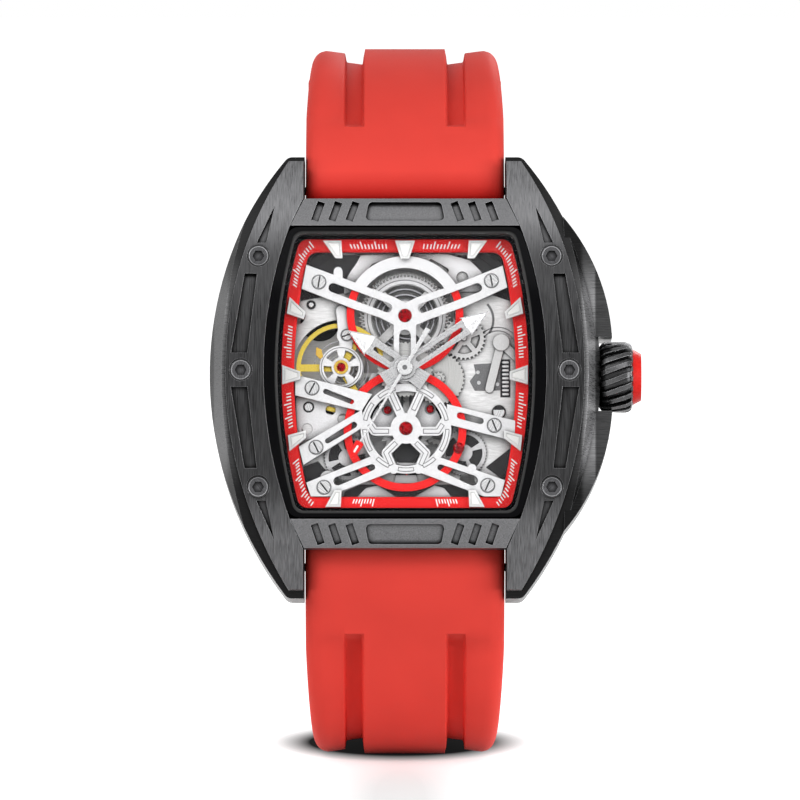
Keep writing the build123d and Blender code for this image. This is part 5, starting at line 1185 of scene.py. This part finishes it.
def make_plates():
    """The corners, the crescent and the plates round the balance and the winding work."""
    top, over = PLATE_TOP, PLATE_TOP + 0.04
    # Dark sheets of painted shade over the plate's corners.
    plate("corner_shade", [*map(line_of, SHADES)], top, over, painted_shade_black)
    plate("lower_pads", [*map(line_of, PADS)], over, top + 0.16, detail_pale)
    holes = [seen_bar((431, 258.6), (446.5, 268.4), 3.2, 5.0), spot(462.5, 275.5, 6.0)]
    plate("crescent", [line_of(CRESCENT)], over, top + 0.3, detail_pale, holes=holes)
    holes = [spot(*hole) for hole in COVER_HOLES]
    plate("balance_cover", [line_of(BALANCE_COVER)], top, top + 0.07, detail_pale, holes=holes)
    # Painted shade: dark wells round the pins.
    thin_lines("plate_wells", [spot(*well) for well in PLATE_WELLS], top, 0.09, painted_shade_black)
    pins = [spot(*pin) for pin in PLATE_PINS]
    x, y = PLATE_WELLS[-1][:2]
    pins.append([point for point in spot(x, y, 5.8, 32) if point[1] <= seen(x, y)[1] + 0.25])
    prisms("plate_pins", pins, top, top + 0.16, screw_steel, bevel=0.05)
    # The window of the winding work, the toothed clutch and the lines of the springs
    # The window is a dark sheet of painted shade.
    plate("stem_window", [line_of(STEM_WINDOW)], top, top + 0.03, line_grey)
    teeth = [spot(x, y, 2.0, 14) for x, y in STEM_TEETH]
    prisms("stem_teeth", teeth, top + 0.03, LEVER_UNDER, detail_grey, bevel=0.01)
    # Painted shade: a dark well round the clutch.
    thin_lines("clutch_well", [line_of(CLUTCH_WELL)], top, 0.03, painted_shade_black)
    bands = [seen_bar((503.2, y), (508.0, y), 2.3, round_steps=3) for y in range(361, 395, 4)]
    prisms("clutch_bands", bands, top + 0.02, LEVER_UNDER, detail_pale, bevel=0.02)
    arcs = [band_line(seen(498, 347), r * PIXEL, r * PIXEL + 0.09, 25, 178, 28) for r in (17.5, 21.0)]
    arcs.append(band_line(seen(470, 318), 22.5 * PIXEL, 24.6 * PIXEL, -35, 42, 18))
    thin_lines("plate_lines", arcs, top)


WELL_LEFT = ((366, 428), (368, 412), (378, 398), (392, 390), (399, 402), (398, 418), (392, 428))
WELL_FOOT = ((396, 462), (416, 462), (414, 472), (398, 472))


def make_escapement_view():
    """Light plates with small rubies under the lower bridge, and the dark well below its hub: a black sheet
    of painted shade.
    """
    left = line_of(WELL_LEFT)
    right = [(2 * ESCAPE_AT[0] - x, z) for x, z in left]
    floor = [left, right, line_of(WELL_FOOT), *ring_lines(ESCAPE_AT, 36 * PIXEL, 44 * PIXEL, 30)]
    plate("well_floor", floor, PLATE_TOP - 0.02, PLATE_TOP + 0.07, detail_grey)
    well = [spot(406, 450, 13.6, 48)]
    plate("well", well, PLATE_TOP - 0.12, PLATE_TOP + 0.02, painted_shade_black)
    for name, x, y in (("ruby_left", 387.6, 409), ("ruby_right", 430.2, 408)):
        low = PLATE_TOP + 0.07
        thin_lines(name + "_seat", [spot(x, y, 5.6)], low, 0.015)
        ruby(name, seen(x, y), 3.9 * PIXEL, low, PLATE_TOP + 0.3)


COCK_LOW, COCK_HIGH = 8.45, 8.85
COCK_FOOT = (341.5, 309.5)
COCK_PIN = ((316, 346), (321.5, 348.5), (323, 356), (320, 358.5), (315.5, 354))


def make_balance_cock():
    outlines = [
        disc_line(BALANCE_AT, 21.6 * PIXEL),
        seen_bar((346, 344), COCK_FOOT, 13, 11),
        spot(346.5, 334, 9.8, 32),
    ]
    turns = [126 + 72 * step for step in range(5)]
    holes = [band_line(BALANCE_AT, 9.6 * PIXEL, 17.6 * PIXEL, turn - 22, turn + 22, 8) for turn in turns]
    holes.append(disc_line(BALANCE_AT, 0.4, 20))
    made = plate("cock", outlines, COCK_LOW, COCK_HIGH, detail_pale, holes=holes)
    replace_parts(made, "balance_cock")
    plate("cock_foot", [disc_line(seen(*COCK_FOOT), 0.75, 24)], PLATE_TOP, COCK_LOW, detail_pale)
    thin_lines("cock_line", ring_lines(BALANCE_AT, 19.4 * PIXEL, 20.1 * PIXEL, 36), COCK_HIGH, 0.01)
    setting = ring_lines(BALANCE_AT, 0.5, 0.78, 16)
    prisms("cock_setting", setting, COCK_HIGH, COCK_HIGH + 0.07, gold, "case", 0.02)
    screws("cock_screw", [((346.8, 334), 20)], 0.6, COCK_HIGH, COCK_HIGH + 0.08)
    # The regulator's gold pin, and the ruby over the balance staff
    pin = [line_of(COCK_PIN)]
    prisms("cock_pin", pin, COCK_HIGH, COCK_HIGH + 0.08, gold, "case", 0.05)
    ruby("ruby_balance", BALANCE_AT, 0.5, COCK_HIGH + 0.01, COCK_HIGH + 0.08)


BARREL_LOW, BARREL_HIGH = 7.46, 7.58


def make_barrel_face():
    teeth, hole = [gear_line(BARREL_AT, 4.5, 4.86, 72)], [disc_line(BARREL_AT, 3.75, 64)]
    plate("barrel_teeth", teeth, BARREL_LOW, BARREL_HIGH, detail_pale, holes=hole, body="barrel")
    thin_lines("barrel_line", ring_lines(BARREL_AT, 4.12, 4.2, 36), BARREL_HIGH, 0.01, body="barrel")


def hand_lines(length, head_place, head_half, neck_half, root_half, tail_half):
    """A hand that points up: tail, tapered arm with a step under an arrow head; and its slot."""
    right = (
        (tail_half, -2.7), (root_half, -0.9), (root_half, 1.2), (neck_half, head_place - 0.12),
        (head_half, head_place - 0.3),
    )
    outline = [*right, (0, length), *[(-x, z) for x, z in reversed(right)]]
    return outline, bar_line((0, 1.75), (0, head_place - 0.9), 0.62, 0.5)


def turned_to(points, degrees):
    """Points of a hand, turned about the hub."""
    cos, sin = math.cos(math.radians(degrees)), math.sin(math.radians(degrees))
    return [(HUB_AT[0] + x * cos - z * sin, HUB_AT[1] + x * sin + z * cos) for x, z in points]


def ridge(name, corners, top, low, high, material, body):
    """A raised head of facets that meet in a ridge from the tip to the middle of the base."""
    shape = bmesh.new()
    edge = [shape.verts.new(front(x, z, low)) for x, z in corners]
    crest = shape.verts.new(front(*top, high))
    for step in range(len(edge)):
        shape.faces.new((edge[step], edge[(step + 1) % len(edge)], crest))
    shape.faces.new(edge)
    return finished(mesh_of(shape, name), name, material, body, 5)


# Hands: node, body, angle, height, sizes of the outline, radii of the hub's disc and hole
HANDS = (
    ("hour_hand", "hours", 56.3, 9.75, (7.6, 4.75, 1.27, 1.02, 0.9, 1.02), 1.45, 1.23),
    ("minute_hand", "minutes", -55.9, 10.2, (11.25, 8.35, 1.18, 0.88, 0.8, 1.05), 1.2, 0.9),
)
HATCH = (-0.66, -0.4, -0.13, 0.13, 0.4, 0.66)
NEEDLE = ((0.27, -5.0), (0.16, 0), (0.09, 9.6), (-0.09, 9.6), (-0.16, 0), (-0.27, -5.0))
POINTER = ((0.1, 9.5), (0.5, 9.65), (0.42, 11.05), (0, 11.75), (-0.42, 11.05), (-0.5, 9.65), (-0.1, 9.5))
STRIPE = ((0.11, 10.05), (0.11, 10.9), (-0.11, 10.9), (-0.11, 10.05))
NEEDLE_TURN, NEEDLE_LOW, NEEDLE_HIGH, CAP_HIGH = 149.2, 10.72, 10.92, 11.02


def make_hand(node, body, angle, low, sizes, disc, hole):
    outline, slot = hand_lines(*sizes)
    length, place, half, neck = sizes[:4]
    top = low + 0.2
    outlines = [turned_to(outline, angle), disc_line(HUB_AT, disc, 32)]
    holes = [turned_to(slot, angle), disc_line(HUB_AT, hole, 32)]
    made = plate(node + "_blade", outlines, low, top, hand_steel, holes, body)
    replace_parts(made, node)
    head = [(0, length - 0.25), (half - 0.12, place - 0.12), (0, place - 0.28), (-half + 0.12, place - 0.12)]
    head, (crest,) = turned_to(head, angle), turned_to([(0, place + 0.35)], angle)
    ridge(node + "_head", head, crest, top - 0.01, top + 0.12, hand_white, body)
    edges = [
        bar_line((side * 0.62, 1.6), (side * (neck - 0.22), place - 0.5), 0.06, round_steps=2)
        for side in (-1, 1)
    ]
    edges += [bar_line((x, -2.55), (x, -1.5), 0.045, round_steps=2) for x in HATCH]
    edges = [turned_to(edge, angle) for edge in edges]
    thin_lines(node + "_lines", edges, top, 0.008, detail_grey, body)


def make_hands():
    for hand in HANDS:
        make_hand(*hand)
    needle, pointer, stripe = (turned_to(points, NEEDLE_TURN) for points in (NEEDLE, POINTER, STRIPE))
    outlines, hole = [needle, disc_line(HUB_AT, 0.86, 32)], [disc_line(HUB_AT, 0.27, 20)]
    high = NEEDLE_HIGH - 0.02
    made = plate("seconds_needle", outlines, NEEDLE_LOW, high, hand_white, hole, "seconds")
    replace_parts(made, "seconds_hand")
    for name, outline, low, high, material, slot, bevel in (
        ("seconds_pointer", pointer, NEEDLE_LOW, NEEDLE_HIGH, red_lacquer, "red_lacquer", 0.05),
        ("seconds_stripe", stripe, NEEDLE_HIGH, NEEDLE_HIGH + 0.01, lume_white, "marker_steel", 0.0),
        ("seconds_cap", disc_line(HUB_AT, 0.84, 32), NEEDLE_HIGH, CAP_HIGH, hand_white, "marker_steel", 0.06),
        ("seconds_pin", hole[0], CAP_HIGH, CAP_HIGH + 0.04, line_grey, "marker_steel", 0.03),
    ):
        prisms(name, [outline], low, high, material, "seconds", bevel)


SIDE_WHEELS = (("wheel_left", 347, 457), ("wheel_right", 464, 452))


def make_side_wheels():
    for name, x, y in SIDE_WHEELS:
        # Painted shade: a dark disc under each wheel.
        thin_lines(name + "_well", [spot(x, y, 20.5, 32)], PLATE_TOP, 0.045, painted_shade_black)
        centre = seen(x, y)
        teeth = [gear_line(centre, 22.0 * PIXEL, 23.6 * PIXEL, 44)]
        holes = [
            band_line(centre, 8.5 * PIXEL, 18.5 * PIXEL, middle - 35, middle + 35, 12)
            for middle in (68, 158, 248, 338)
        ]
        plate(name, teeth, PLATE_TOP + 0.05, PLATE_TOP + 0.16, detail_grey, holes=holes)


CROWN_START, CROWN_END, CROWN_RADIUS, CROWN_GROOVE = 21.38, 25.1, 3.9, 0.5
CROWN_TEETH, CROWN_TWIST, CROWN_STEPS, CROWN_RUN_OUT = 19, 21, 24, 0.06
STEM_HEIGHT = 6.2
# Chamfers of the crown's ends: share of its length and how far the radius falls
CROWN_FALLS = ((0, 0.62), (0.09, 0.16), (0.2, 0.0), (0.5, 0), (0.8, 0), (0.9, 0.1), (0.97, 0.32), (1, 0.72))
# A tooth and the groove after it: share of the turn and of the groove's depth
CROWN_TOOTH = ((0.0, 0), (0.21, 0), (0.42, 0), (0.5, 1), (0.7, 1), (0.92, 1))


def crown_fall(share):
    for (first, low), (last, high) in zip(CROWN_FALLS, CROWN_FALLS[1:]):
        if share <= last:
            return low + (high - low) * (share - first) / (last - first)


def make_crown():
    """The crown: flat-topped teeth that run round it at a slant, with chamfered ends."""
    rings = []
    shape = bmesh.new()
    for share in [step / CROWN_STEPS for step in range(CROWN_STEPS + 1)]:
        x = CROWN_START + share * (CROWN_END - CROWN_START)
        groove = CROWN_GROOVE * min(share / CROWN_RUN_OUT, 1, (1 - share) / CROWN_RUN_OUT)
        ring = []
        for tooth in range(CROWN_TEETH):
            for place, depth in CROWN_TOOTH:
                turn = math.tau * (tooth + place) / CROWN_TEETH + math.radians(CROWN_TWIST) * share
                radius = CROWN_RADIUS - crown_fall(share) - depth * groove
                ring.append(shape.verts.new((
                    x * MM, (-STEM_HEIGHT + radius * math.sin(turn)) * MM, radius * math.cos(turn) * MM
                )))
        rings.append(ring)
    close_ends(shape, rings)
    mesh = mesh_of(shape, "crown_grip")
    made = finished(mesh, "crown_grip", crown_steel, "crown_and_stem", 30)
    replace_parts(made, "crown")


# Bolts of the bezel: centres and height of the heads
BOLTS = {
    "middle": (((18, 0), (-18, 0)), 14.25),
    "end": ([(x, z) for x in (-16.1, 16.1) for z in (-12.74, 12.74)], 12.754),
}


def make_bolt_rings():
    """A black line of painted shade round each bolt's head, and a bright rim inside it, a painted highlight."""
    for name, (centres, height) in BOLTS.items():
        for ring, outer, inner, material in (("line", 1.22, 1.09, painted_shade_black), ("rim", 1.06, 0.97, bolt_rim_highlight)):
            outlines = [disc_line(centre, outer, 40) for centre in centres]
            holes = [disc_line(centre, inner, 40) for centre in centres]
            low, high = height - 0.01, height + 0.012
            plate(f"bolt_{ring}_{name}", outlines, low, high, material, holes)


def make_backs():
    """Dark back of the balance's window, on the level of the train bridge."""
    back = [disc_line(BALANCE_AT, 6.4, 40), disc_line((-3.5, -8.5), 4.2, 32), disc_line((3.9, -8.5), 4.2, 32)]
    plate("window_back", back, 3.75, 4.1, window_dark)


make_upper_bridge()
make_lower_bridge()
make_plates()
make_escapement_view()
make_balance_cock()
make_backs()
make_barrel_face()
make_hands()
make_side_wheels()
make_crown()
make_bolt_rings()
ruby("ruby_barrel", BARREL_AT, 6.9 * PIXEL, BRIDGE_HIGH, BRIDGE_HIGH + 0.13)
ruby("ruby_escape", ESCAPE_AT, 6.9 * PIXEL, BRIDGE_HIGH, BRIDGE_HIGH + 0.13)
ruby("ruby_right_ring", seen(458.6, 448.0), 5.6 * PIXEL, 9.175, 9.42)
